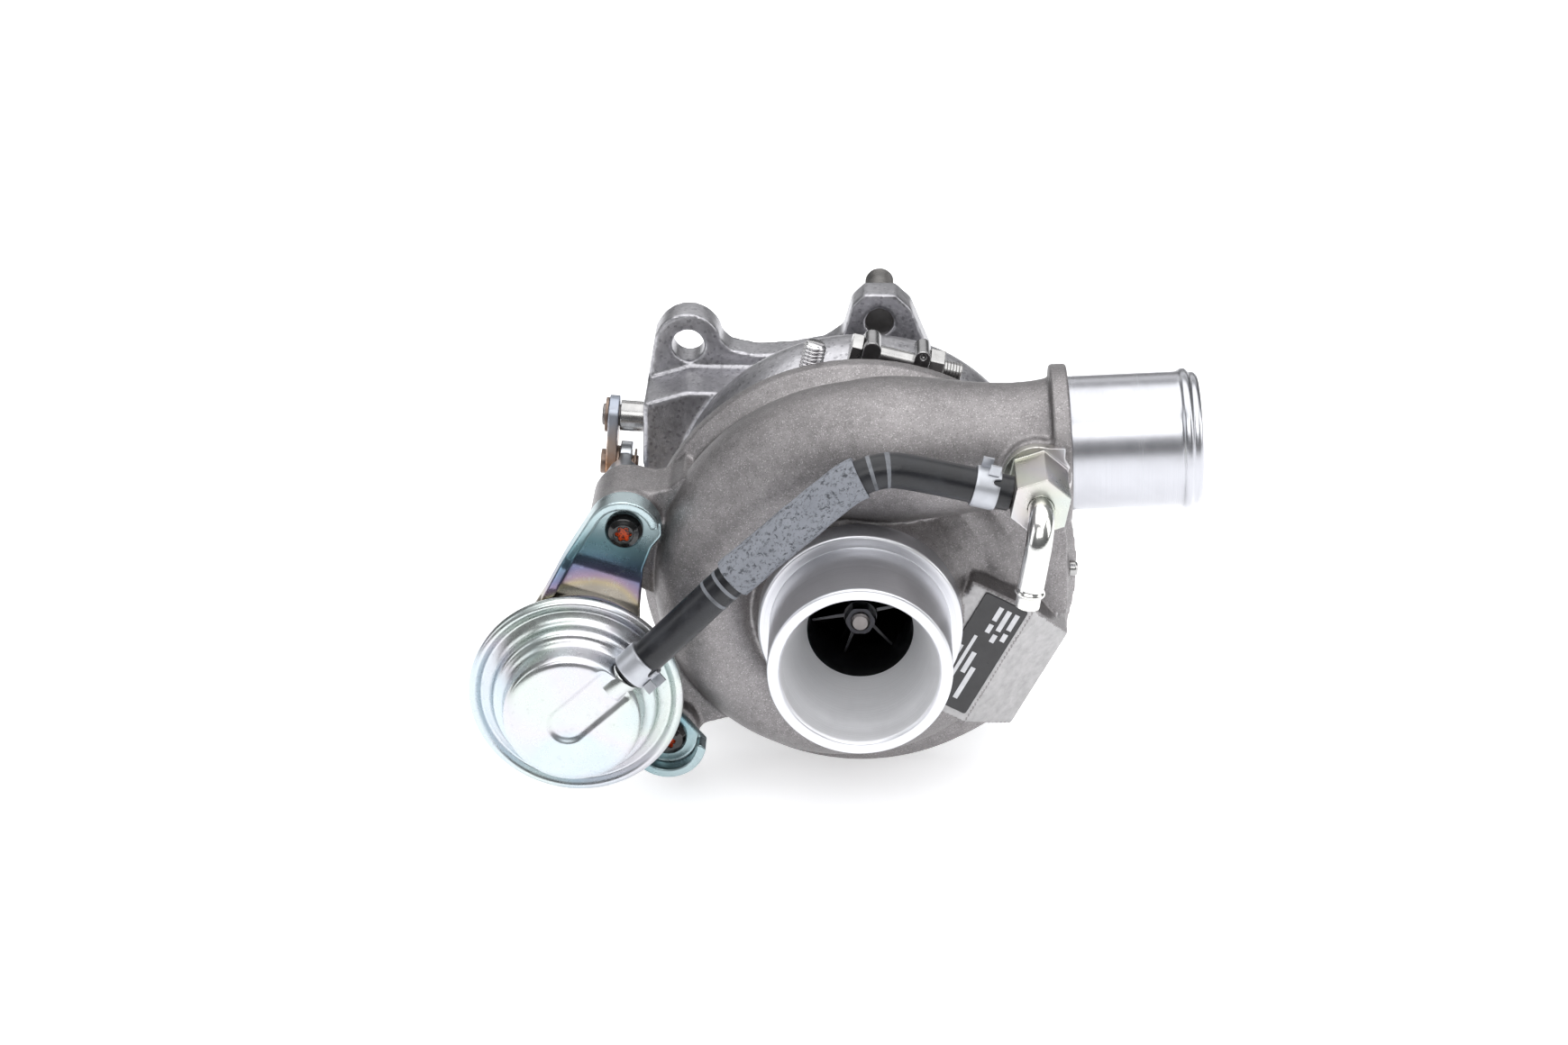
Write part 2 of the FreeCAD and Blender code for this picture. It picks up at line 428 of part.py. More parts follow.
for y in (64.5, 72.2, 76.9):
    clips.append(tube(6.75, 4.9, y, y + 0.7).cut(box(-1.2, 1.2, y - 1, y + 2, 3, 8)))
add("bearing_circlips", Part.makeCompound(clips))

# ===================================================== bearing housing
bh = rev([(0, 60.3), (44.0, 60.3), (44.0, 62.0), (31.0, 64.0), (29.0, 66.5), (29.0, 70.0), (33.0, 71.5), (VB_R - 4.0, 72.4), (VB_R, 74.3),
          (VB_R, 76.0), (31.0, 76.0), (31.0, 78.6), (24.0, 78.6), (24.0, 84.4), (12.0, 87.6), (12.0, 88.8), (0, 88.8)])
SB = V(-16.1, 68.75, 41.75)                   # foot of the oil feed stud, which leans a little
sd = V(0.21, 0, 0.978)
sd.normalize()
oilpad = box(-22.5, 11.0, 63.6, 71.7, 0, 41.0).fuse(Part.makeCylinder(6.4, 21.0, SB - sd * 20.6, sd).common(box(-40, 11, 62.2, 71.7, 0, 60)))
drain = box(-11.5, 11.5, 62.1, 71.7, -43.5, -20).fuse(box(-19, 19, 62.1, 71.7, -43.5, -38.5))
bh = bh.fuse([oilpad, drain])
oil_ways = [cyl(3.5, (2.0, 67.5, 30), (2.0, 67.5, 42.5)), cyl(1.6, (2.0, 67.5, 31), (2.0, 67.5, 16)),
            cyl(1.4, (2.0, 67.5, 17), (0, 68.6, 5.2)), cyl(1.4, (2.0, 67.5, 17), (0, 81.0, 5.2)),
            cyl(3.0, (-5.0, 66.9, -45), (-5.0, 66.9, -14)).fuse([cyl(3.0, (5.0, 66.9, -45), (5.0, 66.9, -14)), box(-5.0, 5.0, 63.9, 69.9, -45, -14)]),
            Part.makeCylinder(M6 + FIT, 15.5, SB - sd * 13.5, sd)]
drain_cav = rev([(6.0, 73.6), (17.0, 73.6), (17.0, 76.4), (6.0, 76.4)])
sump = box(-6, 6, 65.5, 81, -17, -5.0)
bores = rev([(0, 60.0), (20.05, 60.0), (20.05, 61.02), (15.03, 61.02), (15.03, 64.3), (6.0, 64.3), (6.0, 64.45), (6.8, 64.45), (6.8, 65.25), (BORE_R, 65.25),
             (BORE_R, 72.15), (6.8, 72.15), (6.8, 72.95), (BORE_R, 72.95), (BORE_R, 76.85), (6.8, 76.85), (6.8, 77.65), (BORE_R, 77.65), (BORE_R, 85.2), (7.95, 86.0), (7.95, 90), (0, 90)])
bh = bh.cut([bores, drain_cav, sump] + oil_ways)
bh = bh.cut([cyl(2.1, (-14.5, 66.9, -46), (-14.5, 66.9, -36)), cyl(2.1, (14.5, 66.9, -46), (14.5, 66.9, -36))])
add("bearing_housing", bh)
stud = Part.makeCylinder(M6, 30.2, SB - sd * 12.6, sd).fuse(Part.makeCylinder(2.4, 1.0, SB + sd * 17.5, sd))
add("oil_feed_stud", stud)
add("heat_shield", rev([(9.4, 89.2), (11.6, 89.2), (22.4, 86.0), (24.6, 86.0), (24.6, 86.8), (22.7, 86.8), (11.9, 90.0), (9.4, 90.0)]))

# ===================================================== V-band clamp
VA = 80.7                                   # angle of the T-bolt
band = rev([(47.3, 71.9), (48.8, 71.9), (48.8, 80.5), (47.3, 80.5)])
legs = rev([(43.0, 73.22), (43.9, 71.8), (47.4, 73.2), (47.4, 75.31)]).fuse(rev([(43.0, 79.18), (43.9, 80.6), (47.4, 79.2), (47.4, 77.09)]))
band = band.fuse(legs)
tdir = V(math.cos(math.radians(13.5)), 0, -math.sin(math.radians(13.5)))  # along the T-bolt
rdir = V(math.cos(math.radians(VA)), 0, math.sin(math.radians(VA)))
ndir = V(-tdir.z, 0, tdir.x)                # outward, square to the T-bolt
gap = Part.makeBox(7.0, 16.0, 16.0, V(-3.5, 68.0, 40.0))
gap.rotate(V(0, 0, 0), V(0, 1, 0), 90.0 - VA)
band = band.cut(gap)
BC = V(8.6, 76.2, 52.6)                     # middle of the T-bolt
TB_R = 2.5
loops = []
for s, w, h in ((-7.0, 4.8, 2.3), (6.3, 4.2, 3.4)):
    c = BC + tdir * s
    lp = Part.makeBox(w, 9.6, 7.4 + h, V(-w / 2, 0, 0))
    lp.rotate(V(0, 0, 0), V(0, 1, 0), 13.5)
    lp.translate(c - ndir * 7.4 - V(0, 4.8, 0))
    lp = lp.fuse(Part.makeCylinder(w / 2, 9.6, c + ndir * h - V(0, 4.8, 0), V(0, 1, 0)))
    lp = lp.cut(Part.makeCylinder(TB_R + FIT, 30, c - tdir * 15, tdir))
    loops.append(lp)
band = band.fuse(loops).cut(Part.makeCylinder(0.8, 1.4, BC + tdir * 6.3 + ndir * 3.9 - V(0, 5.2, 0), V(0, 1, 0)))
add("v_band_clamp", band)
h0 = BC - tdir * 12.3
tb_ = hexa(7.6, h0, tdir, 2.85, 12).fuse(Part.makeCylinder(TB_R, 27.7, h0 + tdir * 2.0, tdir))
add("v_band_bolt", tb_)
n0 = BC + tdir * 8.45
add("v_band_nut", hexa(8.4, n0, tdir, 3.9, 25).cut(Part.makeCylinder(TB_R, 20, n0 - tdir * 5, tdir)))

# outlet flange studs
studs = []
for (hx, hz), y0 in ((STUD_TR, 117.5), (STUD_LL, 117.5)):
    s = cyly(3.8, y0, 127.0, hx, hz).fuse(cyly(4.0, 127.0, 148.0, hx, hz)).fuse(rev([(0, 148.0), (4.0, 148.0), (3.2, 149.0), (0, 149.0)], hx, hz))
    studs.append(s)
add("outlet_studs", Part.makeCompound(studs))

# ===================================================== wastegate
bush = Part.makeCylinder(4.28, 18.8, WP - WAX * 6.6, WAX).cut(Part.makeCylinder(SPINDLE_R + 0.05, 30, WP - WAX * 8, WAX))
add("wastegate_bushing", bush)
# spindle with the crank arm that carries the flap
u0 = WP + WAX * ((PORT_X - WP.x) / WAX.x)                  # spindle point above the port
spindle = Part.makeCylinder(SPINDLE_R, (u0 - WP).Length + 4.0 + 11.6, WP - WAX * 11.6, WAX)
drop = u0.z - PORT_Z
arm = Part.makeBox(7.0, 4.6, drop + 4.0, V(-3.5, 0, -(drop + 4.0)))
arm.translate(V(PORT_X, 111.6, u0.z))
arm = arm.makeFillet(3.0, [e for e in arm.Edges if e.Vertexes[0].Point.z < PORT_Z and abs(e.Vertexes[0].Point.y - e.Vertexes[-1].Point.y) > 1])
knee = Part.makeCylinder(3.9, 7.0, V(PORT_X - 3.5, WY + 1.1, u0.z), V(1, 0, 0))
arm_all = spindle.fuse([arm, knee]).cut(cyly(2.6, 100, 130, PORT_X, PORT_Z))
add("wastegate_arm", arm_all)
flap = rev([(0, SEAT_Y + 0.05), (9.6, SEAT_Y + 0.05), (10.2, SEAT_Y + 0.7), (10.2, SEAT_Y + 2.0), (5.5, SEAT_Y + 3.2), (2.5, SEAT_Y + 3.3), (2.5, SEAT_Y + 10.2), (0, SEAT_Y + 10.2)], PORT_X, PORT_Z)
add("wastegate_flap", flap)
add("flap_washer", tube(5.0, 2.5, SEAT_Y + 8.3, SEAT_Y + 9.8, PORT_X, PORT_Z))

LP = WP - WAX * 8.4                                        # lever plate centre plane
down = WDN * math.cos(REST) + V(0, 1, 0) * math.sin(REST)
PIN = LP + down * LEVER


def disc(c, r, a, b):
    """Cylinder about the spindle direction through c, from a to b along it."""
    return Part.makeCylinder(r, b - a, c + WAX * a, WAX)


def lever_hull(c0, r0, c1, r1, a, b):
    d = c1 - c0
    n = WAX.cross(d)
    n.normalize()
    q = [c0 + n * r0, c1 + n * r1, c1 - n * r1, c0 - n * r0]
    q = [p + WAX * a for p in q]
    return Part.Face(Part.makePolygon(q + [q[0]])).extrude(WAX * (b - a)).fuse([disc(c0, r0, a, b), disc(c1, r1, a, b)])


lev = lever_hull(LP, 5.5, PIN, 5.2, -1.4, 1.4).cut([disc(LP, SPINDLE_R, -5, 5), disc(PIN, 2.2, -5, 5)])
add("wastegate_lever", lev)
add("spindle_clip", disc(LP, 4.8, -2.35, -1.45).cut(disc(LP, SPINDLE_R, -5, 5)))
pin = disc(PIN, 2.2, -1.4, 7.4).fuse([disc(PIN, 3.4, -2.9, -1.4)]).cut(disc(PIN, 3.0, 6.3, 6.9).cut(disc(PIN, 1.8, 6.2, 7.0)))
add("lever_pin", pin)
add("pin_washer", disc(PIN, 4.6, 1.42, 2.2).cut(disc(PIN, 2.25, -5, 9)))
add("pin_clip", disc(PIN, 4.0, 6.32, 6.88).cut([disc(PIN, 1.85, 5, 9), Part.makeBox(3.4, 8, 8, PIN + WAX * 5 + V(-2.0, 0, -1.7))]))

# ===================================================== actuator
ax_, az_ = ACT
cover = rev([(0, CAP_Y), (15.6, CAP_Y), (16.7, CAP_Y + 0.5), (17.3, CAP_Y + 1.6), (17.9, 7.2), (18.7, 8.3), (20.1, 8.9), (20.7, 9.9), (20.9, 12.2), (21.8, 13.2),
             (24.1, 14.3), (24.8, 13.6), (25.6, 13.1), (26.5, 13.2), (27.1, 13.9), (27.3, 14.9), (27.0, 16.0), (26.2, 16.6), (26.2, 15.5),
             (24.2, 15.5), (21.2, 14.3), (19.9, 13.0), (19.6, 10.4), (18.9, 9.8), (17.8, 9.2), (16.9, 8.0), (16.3, 2.4), (15.4, CAP_Y + 1.1), (0, CAP_Y + 1.1)], ax_, az_)
nd = V(math.cos(NIP_DIR), 0, math.sin(NIP_DIR))
H = [V(*p) for p in ROUTE]
hd0 = H[1] - H[0]
hd0.normalize()
NC = H[0] - hd0 * 4.6
nip = Part.makeCylinder(4.0, 5.0, NC - hd0 * 1.0, hd0).fuse(Part.makeCylinder(HOSE_IR - 0.03, 14.0, NC, hd0))
groove_c = (ax_ - 1.0, az_ - 1.0)
gv = hull2(groove_c, 5.2, (ax_ + 17.5 * nd.x, az_ + 17.5 * nd.z), 5.2, CAP_Y - 1.0, CAP_Y + 0.45)
cover = cover.cut([gv, Part.makeCylinder(5.2, 6.8, H[0] + hd0 * 0.35, hd0), Part.makeCylinder(HOSE_R + 0.1, 9.0, H[0] - hd0 * 0.2, hd0)])
cover = cover.fuse(nip).cut(Part.makeCylinder(1.7, 26.0, NC - hd0 * 6.0, hd0))
add("actuator_cover", cover)
base = rev([(3.6, CAN_BACK - 1.2), (18.0, CAN_BACK - 1.2), (20.0, CAN_BACK - 3.0), (20.4, 19.2), (21.4, 18.0), (26.2, 17.2), (26.2, 18.4), (22.2, 19.0), (21.5, 20.0),
            (21.2, CAN_BACK - 2.6), (18.8, CAN_BACK), (3.6, CAN_BACK)], ax_, az_)
add("actuator_base", base)
dia = rev([(0, 15.55), (12.0, 15.55), (13.6, 14.9), (14.5, 12.0), (16.2, 11.0), (17.6, 12.0), (18.6, 14.9), (20.5, 15.6), (26.1, 15.6), (26.1, 17.1), (19.6, 17.1),
           (17.6, 15.6), (16.9, 13.0), (16.2, 12.4), (15.6, 13.0), (14.6, 16.2), (12.6, 16.75), (0, 16.75)], ax_, az_)
add("actuator_diaphragm", dia)
add("actuator_piston", rev([(0, 16.8), (12.4, 16.8), (13.2, 17.6), (13.2, 22.4), (12.2, 22.4), (12.2, 18.2), (ROD_R + 1.6, 18.2), (ROD_R + 1.6, 20.4), (0, 20.4)], ax_, az_))
coil_r, wire_r, turns = 9.4, 0.72, 3.5
y_a, y_b = 19.25, CAN_BACK - 2.25
hx = Part.makeHelix((y_b - y_a) / turns, y_b - y_a, coil_r)
hx.rotate(V(0, 0, 0), V(1, 0, 0), -90)
hx.translate(V(ax_, y_a, az_))
p0 = hx.Edges[0].valueAt(hx.Edges[0].FirstParameter)
t0 = hx.Edges[0].tangentAt(hx.Edges[0].FirstParameter)
spring = Part.Wire(hx.Edges).makePipeShell([Part.Wire([Part.makeCircle(wire_r, p0, t0)])], True, True)
add("actuator_spring", spring)

RODP = [(ax_, 20.4, az_), (ax_, 54.0, az_), (PIN.x + 4.0 * WAX.x, 80.0, PIN.z + 4.0 * WAX.z), (PIN.x + 4.0 * WAX.x, 96.0, PIN.z + 4.0 * WAX.z)]
rw, rr = route(RODP)
rod = sweep(rw, ROD_R, RODP[0], V(0, 1, 0))
add("actuator_rod", rod)
ex, ez = PIN.x + 4.0 * WAX.x, PIN.z + 4.0 * WAX.z
EC = V(ex, PIN.y, ez)
eye = Part.makeCylinder(6.0, 3.2, EC - WAX * 1.6, WAX).fuse(cyly(4.6, 92.0, PIN.y - 3.5, ex, ez))
slot = Part.makeCylinder(2.85, 8, EC - WAX * 4, WAX)
eye = eye.cut([slot, cyly(ROD_R + 0.02, 90, 96.05, ex, ez),
               Part.makeCylinder(9, 10, EC + WAX * 1.6, WAX), Part.makeCylinder(9, 10, EC - WAX * 11.6, WAX)])
add("rod_end", eye)
add("rod_lock_nut", hexa(9.0, (ex, 87.8, ez), (0, 1, 0), 4.0).cut(cyly(ROD_R + 0.02, 80, 97, ex, ez)))
add("rod_guide", tube(3.58, ROD_R + FIT, CAN_BACK - 2.0, CAN_BACK + 0.4, ax_, az_).fuse(tube(5.2, ROD_R + FIT, CAN_BACK + 2.52, CAN_BACK + 4.0, ax_, az_)).fuse(
    tube(4.4, ROD_R + FIT, CAN_BACK + 0.02, CAN_BACK + 2.6, ax_, az_)))

# stamped bracket: flat under the can, stepped back to the two ears, lipped edge
T_BR = 2.5


def bent(direction, y_shift, thick, s0=-30.0):
    """Bent strip following direction from the can centre; constant section."""
    c = V(ax_, 0, az_)
    d = V(direction[0], 0, direction[1])
    n = V(-direction[1], 0, direction[0])
    prof = [(s0, CAN_BACK), (17.0, CAN_BACK), (19.5, CAN_BACK + 0.9), (24.5, 36.6), (27.0, 37.5), (60.0, 37.5)]
    up = [c + d * s + V(0, y + y_shift, 0) - n * 45 for s, y in prof]
    dn = [c + d * s + V(0, y + y_shift + thick, 0) - n * 45 for s, y in reversed(prof)]
    return Part.Face(Part.makePolygon(up + dn + [up[0]])).extrude(n * 90)


def unit(a, b):
    L = math.hypot(b[0] - a[0], b[1] - a[1])
    return ((b[0] - a[0]) / L, (b[1] - a[1]) / L)


du, dl = unit(ACT, EAR_U), unit(ACT, EAR_L)
out_u = hull2(ACT, 18.5, EAR_U, 9.6, 5, 60)
out_l = hull2(ACT, 18.5, EAR_L, 10.2, 5, 60)
in_u = hull2(ACT, 16.1, EAR_U, 7.2, 0, 65)
in_l = hull2(ACT, 16.1, EAR_L, 7.8, 0, 65)
arm_u = out_u.common(bent(du, 0, T_BR))
arm_l = out_l.common(bent(dl, 0, T_BR))
# lips: project toward the front along the outer edge of each arm
lip_zone_u = Part.makeBox(70, 80, 70, V(-105, 0, 6.5))
nu = V(-du[1], 0, du[0])
side = Part.makeBox(60, 90, 60, V(0, 0, 0))
lip_u = out_u.cut(in_u).common(bent(du, -4.6, 4.8)).common(prism([(-110, -2), (-110, 45), (-51.5, 45), (-51.5, 22.5), (-60, 22.5), (-75, -2)], 0, 70))
lip_l = out_l.cut(in_l).common(bent(dl, -4.6, 4.8)).common(prism([(-75, -70), (-35, -70), (-35, -39.5), (-47, -39.6), (-60, -44.4), (-62, -36), (-75, -43)], 0, 70))
br = arm_u.fuse([arm_l, lip_u, lip_l])
br = br.cut([cyly(M6 + 0.3, 20, 60, *EAR_U), cyly(M6 + 0.3, 20, 60, *EAR_L), cyly(4.45, 20, 60, ax_, az_)])
br = br.cut(prism([(-50.7, 19), (-53.5, 15.5), (-55.8, 9.5), (-56.6, 0), (-56.6, -6), (-58, -13), (-58, -20.1), (-46, -34), (-40.3, -40.6),
                   (-35, -46.7), (-20, -46.7), (-20, 19)], 20, 60))
# the can sits in front of the flat middle; nothing of the bracket may reach into it
br = br.cut(cyly(21.6, 10, CAN_BACK, ax_, az_))
add("actuator_bracket", br)


def button(x, z, y):
    """M6 button head screw with a six-lobe socket, head toward -y."""
    s = rev([(0, y - 3.3), (2.6, y - 3.3), (3.95, y - 2.6), (4.85, y - 1.2), (5.0, y), (M6, y), (M6, y + 15.5), (2.5, y + 16.2), (0, y + 16.2)], x, z)
    lob = cyly(1.55, y - 5, y - 1.3, x, z)
    for k in range(6):
        a = math.radians(60 * k)
        lob = lob.fuse(cyly(0.62, y - 5, y - 1.3, x + 1.5 * math.cos(a), z + 1.5 * math.sin(a)))
    return s.cut(lob)


add("bracket_screws", Part.makeCompound([button(EAR_U[0], EAR_U[1], 37.5), button(EAR_L[0], EAR_L[1], 37.5)]))

# ===================================================== union, signal pipe, hose
hexb = hexa(13.4, (UN[0], 5.0, UN[1]), (0, 1, 0), 17.5, 80)
dpl = cyly(8.6, 22.0, 24.6, UN[0], UN[1]).fuse(box(UN[0], UN[0] + 6.6, 22.0, 24.6, UN[1], UN[1] + 8.2))
stem = cyly(4.0, 24.0, 29.5, UN[0], UN[1])
hde = H[-1] - H[-2]
hde.normalize()                                        # toward the union
nipu = Part.makeCylinder(HOSE_IR - 0.03, 15.0, H[-1] - hde * 12.0, hde)
nipu = nipu.fuse(Part.makeCylinder(3.9, 4.0, H[-1] + hde * 0.1, hde))
un = hexb.fuse([dpl, stem, nipu])
un = un.cut([cyly(2.2, 12.0, 31.0, UN[0], UN[1]), Part.makeCylinder(1.7, 24.0, H[-1] - hde * 13.0, hde),
             cyly(SIG_R + 0.02, 4.0, 12.0, SIG[0][0], SIG[0][2])])
add("pressure_union", un)
sw, sr = route(SIG)
pipe = sweep(sw, SIG_R, SIG[0], V(0, -1, 0))
s2 = V(*SIG[2])
sdir = V(*SIG[2]) - V(*SIG[1])
sdir.normalize()
bead = orient(rev([(0, 0), (SIG_R, 0), (SIG_R + 0.55, 0.7), (SIG_R + 0.55, 1.2), (SIG_R - 0.2, 1.9), (SIG_R - 0.2, 4.9), (0, 4.9)]), s2 - sdir * 4.9, sdir)
tipcut = Part.makeCylinder(8, 4, s2 - sdir * 4.9, sdir).fuse(Part.makeCylinder(8, 4, s2 - sdir * 2.0, sdir))
pipe = pipe.cut(tipcut).fuse(bead).cut(sweep(sw, SIG_R - 0.9, SIG[0], V(0, -1, 0)))
add("signal_pipe", pipe)

hw, hr = route(ROUTE)
solid_hose = sweep(hw, HOSE_R, ROUTE[0], hd0)
hose = solid_hose.cut(sweep(hw, HOSE_IR, ROUTE[0], hd0))
add("boost_hose", hose)
# protective sleeve over the middle of the hose
mid = (H[4] - H[2])
mid.normalize()
slv = sweep(hw, SLEEVE_R, ROUTE[0], hd0).cut(sweep(hw, HOSE_R + 0.02, ROUTE[0], hd0))
A0, B0 = V(-31.5, 6.5, 22.6), V(-0.25, 11.0, 48.9)
keep = Part.makeCylinder(30.0, (B0 - A0).Length, A0, B0 - A0)
add("hose_sleeve", slv.common(keep))


def clip(c, d, up):
    """Narrow spring band with two ears, about direction d."""
    b = Part.makeCylinder(HOSE_R + 0.72, 6.0, c - d * 3.0, d).cut(Part.makeCylinder(HOSE_R + 0.07, 20, c - d * 10, d))
    n = up.cross(d)
    n.normalize()
    for s in (-1, 1):
        e = Part.makeBox(2.6, 0.8, 3.4, V(-1.3, -0.4, 0))
        r = FreeCAD.Rotation(d, n, up, "XYZ")
        e.Placement = FreeCAD.Placement(c + up * (HOSE_R + 0.3) + n * 1.3 * s + d * 1.2 * s, r)
        b = b.fuse(e)
    return b


def perp(d, v):
    v = v - d * (v.dot(d))
    v.normalize()
    return v


add("hose_clip_actuator", clip(H[0] + hd0 * 3.7, hd0, perp(hd0, V(0.75, -0.35, -0.65))))
add("hose_clip_union", clip(H[-1] - hde * 6.4, hde, perp(hde, V(0, -0.1, 1))))

# ----------------------------------------------------------------------- write
os.makedirs("parts", exist_ok=True)
bad = []
for name, shape in sorted(NODES.items()):
    shape = shape.copy()
    shape.translate(SHIFT)
    n = len(shape.Solids)
    vol = shape.Volume / 1000.0
    ok = shape.isValid()
    b = shape.BoundBox
    print("%-28s solids %d valid %s vol %8.2f cm3  x %.1f..%.1f y %.1f..%.1f z %.1f..%.1f" % (name, n, ok, vol, b.XMin, b.XMax, b.YMin, b.YMax, b.ZMin, b.ZMax))
    if not ok:
        bad.append(name)
    sol = shape.Solids
    out = sol[0] if n == 1 else Part.makeCompound(sol)
    out.exportStep("parts/%s.step" % name)
print("hose bend radii", hr, "signal pipe", sr, "rod", rr)
print("hose length %.2f  volume %.1f  section x length %.1f" % (hw.Length, hose.Volume, math.pi * (HOSE_R ** 2 - HOSE_IR ** 2) * hw.Length))
print("nodes", len(NODES), "invalid", bad)
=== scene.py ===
import bpy, bmesh, math
import numpy as np
from mathutils import Vector, Matrix


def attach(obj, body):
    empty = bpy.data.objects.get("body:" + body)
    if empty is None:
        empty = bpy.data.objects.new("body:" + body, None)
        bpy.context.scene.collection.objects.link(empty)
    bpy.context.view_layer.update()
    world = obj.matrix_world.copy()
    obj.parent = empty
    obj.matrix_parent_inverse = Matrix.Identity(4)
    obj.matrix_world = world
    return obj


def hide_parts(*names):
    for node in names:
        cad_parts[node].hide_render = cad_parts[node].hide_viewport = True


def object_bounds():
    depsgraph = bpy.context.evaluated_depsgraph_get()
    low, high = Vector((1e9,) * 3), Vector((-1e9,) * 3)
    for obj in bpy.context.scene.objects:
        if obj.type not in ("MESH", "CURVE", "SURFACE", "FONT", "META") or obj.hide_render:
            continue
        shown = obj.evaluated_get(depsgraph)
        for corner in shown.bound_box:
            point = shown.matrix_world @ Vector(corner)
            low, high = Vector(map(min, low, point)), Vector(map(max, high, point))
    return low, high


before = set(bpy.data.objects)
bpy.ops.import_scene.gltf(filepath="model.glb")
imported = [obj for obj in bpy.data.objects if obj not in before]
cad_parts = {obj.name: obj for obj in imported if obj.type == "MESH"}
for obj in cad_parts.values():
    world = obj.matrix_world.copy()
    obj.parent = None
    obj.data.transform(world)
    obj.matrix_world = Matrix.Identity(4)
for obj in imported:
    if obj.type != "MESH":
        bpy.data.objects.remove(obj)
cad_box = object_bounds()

# ------------------------------------------------------------------ frame
# Shaft frame in millimetres: x right, y along the shaft, z up, compressor
# inlet face at y = 0.  P() gives the row frame in metres.
S = Vector((32.0, -102.0, 58.0))
ROOT, WG, ROD = "housings", "wastegate", "actuator_plunger"


def P(x, y, z):
    return (Vector((x, y, z)) + S) * 0.001


# ----------------------------------------------------------------- camera
psi, pitch = math.radians(1.52664), math.radians(25.29669)
R_ = Vector((math.cos(psi), math.sin(psi), 0))
F_ = Vector((-math.sin(psi) * math.cos(pitch), math.cos(psi) * math.cos(pitch), -math.sin(pitch)))
U_ = R_.cross(F_)
M = Matrix((R_, U_, -F_)).transposed().to_4x4()
M.translation = Vector((0.03100086, -0.76507017, 0.41229792))
cam_d = bpy.data.cameras.new("camera")
cam_d.sensor_width = 36.0
cam_d.lens = 3384.783 / 1740.0 * 36.0
cam_d.clip_start, cam_d.clip_end = 0.05, 20.0
cam = bpy.data.objects.new("camera", cam_d)
cam.matrix_world = M
bpy.context.scene.collection.objects.link(cam)
bpy.context.scene.camera = cam


# -------------------------------------------------------------- materials
class N:
    """Small builder for a node material."""

    def __init__(self, name):
        self.m = bpy.data.materials.new(name)
        self.m.use_nodes = True
        self.t = self.m.node_tree
        self.b = self.t.nodes["Principled BSDF"]
        self.tc = self.t.nodes.new("ShaderNodeTexCoord")

    def new(self, kind, **kw):
        n = self.t.nodes.new(kind)
        for k, v in kw.items():
            setattr(n, k, v)
        return n

    def link(self, a, b):
        self.t.links.new(a, b)

    def noise(self, scale, detail=3.0, rough=0.55, vec=None, dist=0.0):
        n = self.new("ShaderNodeTexNoise")
        n.inputs["Scale"].default_value = scale
        n.inputs["Detail"].default_value = detail
        n.inputs["Roughness"].default_value = rough
        n.inputs["Distortion"].default_value = dist
        self.link(vec if vec else self.tc.outputs["Object"], n.inputs["Vector"])
        return n.outputs["Fac"]

    def mapped(self, scale=(1, 1, 1), loc=(0, 0, 0), rot=(0, 0, 0), vec=None):
        n = self.new("ShaderNodeMapping")
        n.inputs["Scale"].default_value = scale
        n.inputs["Location"].default_value = loc
        n.inputs["Rotation"].default_value = rot
        self.link(vec if vec else self.tc.outputs["Object"], n.inputs["Vector"])
        return n.outputs["Vector"]

    def ramp(self, fac, stops):
        n = self.new("ShaderNodeValToRGB")
        e = n.color_ramp.elements
        while len(e) < len(stops):
            e.new(0.5)
        for k, (p, c) in enumerate(stops):
            e[k].position = p
            e[k].color = (c[0], c[1], c[2], 1) if not isinstance(c, (int, float)) else (c, c, c, 1)
        self.link(fac, n.inputs["Fac"])
        return n.outputs["Color"]

    def math(self, op, a, b=None, c=None):
        n = self.new("ShaderNodeMath", operation=op)
        for i, v in enumerate((a, b, c)):
            if v is None:
                continue
            if isinstance(v, (int, float)):
                n.inputs[i].default_value = v
            else:
                self.link(v, n.inputs[i])
        return n.outputs[0]

    def mix(self, fac, a, b, blend="MIX"):
        n = self.new("ShaderNodeMix", data_type="RGBA", blend_type=blend)
        for sock, v in (("Factor", fac), ("A", a), ("B", b)):
            i = [s for s in n.inputs if s.name == sock and (s.type == "RGBA" or sock == "Factor" and s.type == "VALUE")][0]
            if isinstance(v, (int, float)):
                i.default_value = v
            elif isinstance(v, tuple):
                i.default_value = (*v, 1)
            else:
                self.link(v, i)
        return [s for s in n.outputs if s.type == "RGBA"][0]

    def bump(self, height, dist, strength=1.0, prev=None):
        n = self.new("ShaderNodeBump")
        n.inputs["Strength"].default_value = strength
        n.inputs["Distance"].default_value = dist
        self.link(height, n.inputs["Height"])
        if prev is not None:
            self.link(prev, n.inputs["Normal"])
        return n.outputs["Normal"]

    def xyz(self, vec=None):
        n = self.new("ShaderNodeSeparateXYZ")
        self.link(vec if vec else self.tc.outputs["Object"], n.inputs[0])
        return n.outputs

    def col(self, v):
        s = self.b.inputs["Base Color"]
        if isinstance(v, tuple):
            s.default_value = (*v, 1)
        else:
            self.link(v, s)

    def set(self, **kw):
        for k, v in kw.items():
            s = self.b.inputs[{"metal": "Metallic", "rough": "Roughness", "aniso": "Anisotropic", "coat": "Coat Weight",
                               "coatr": "Coat Roughness", "sheen": "Sheen Weight", "spec": "Specular IOR Level", "normal": "Normal",
                               "ior": "IOR", "anrot": "Anisotropic Rotation", "sheenr": "Sheen Roughness"}[k]]
            if isinstance(v, (int, float)):
                s.default_value = v
            else:
                self.link(v, s)
        return self


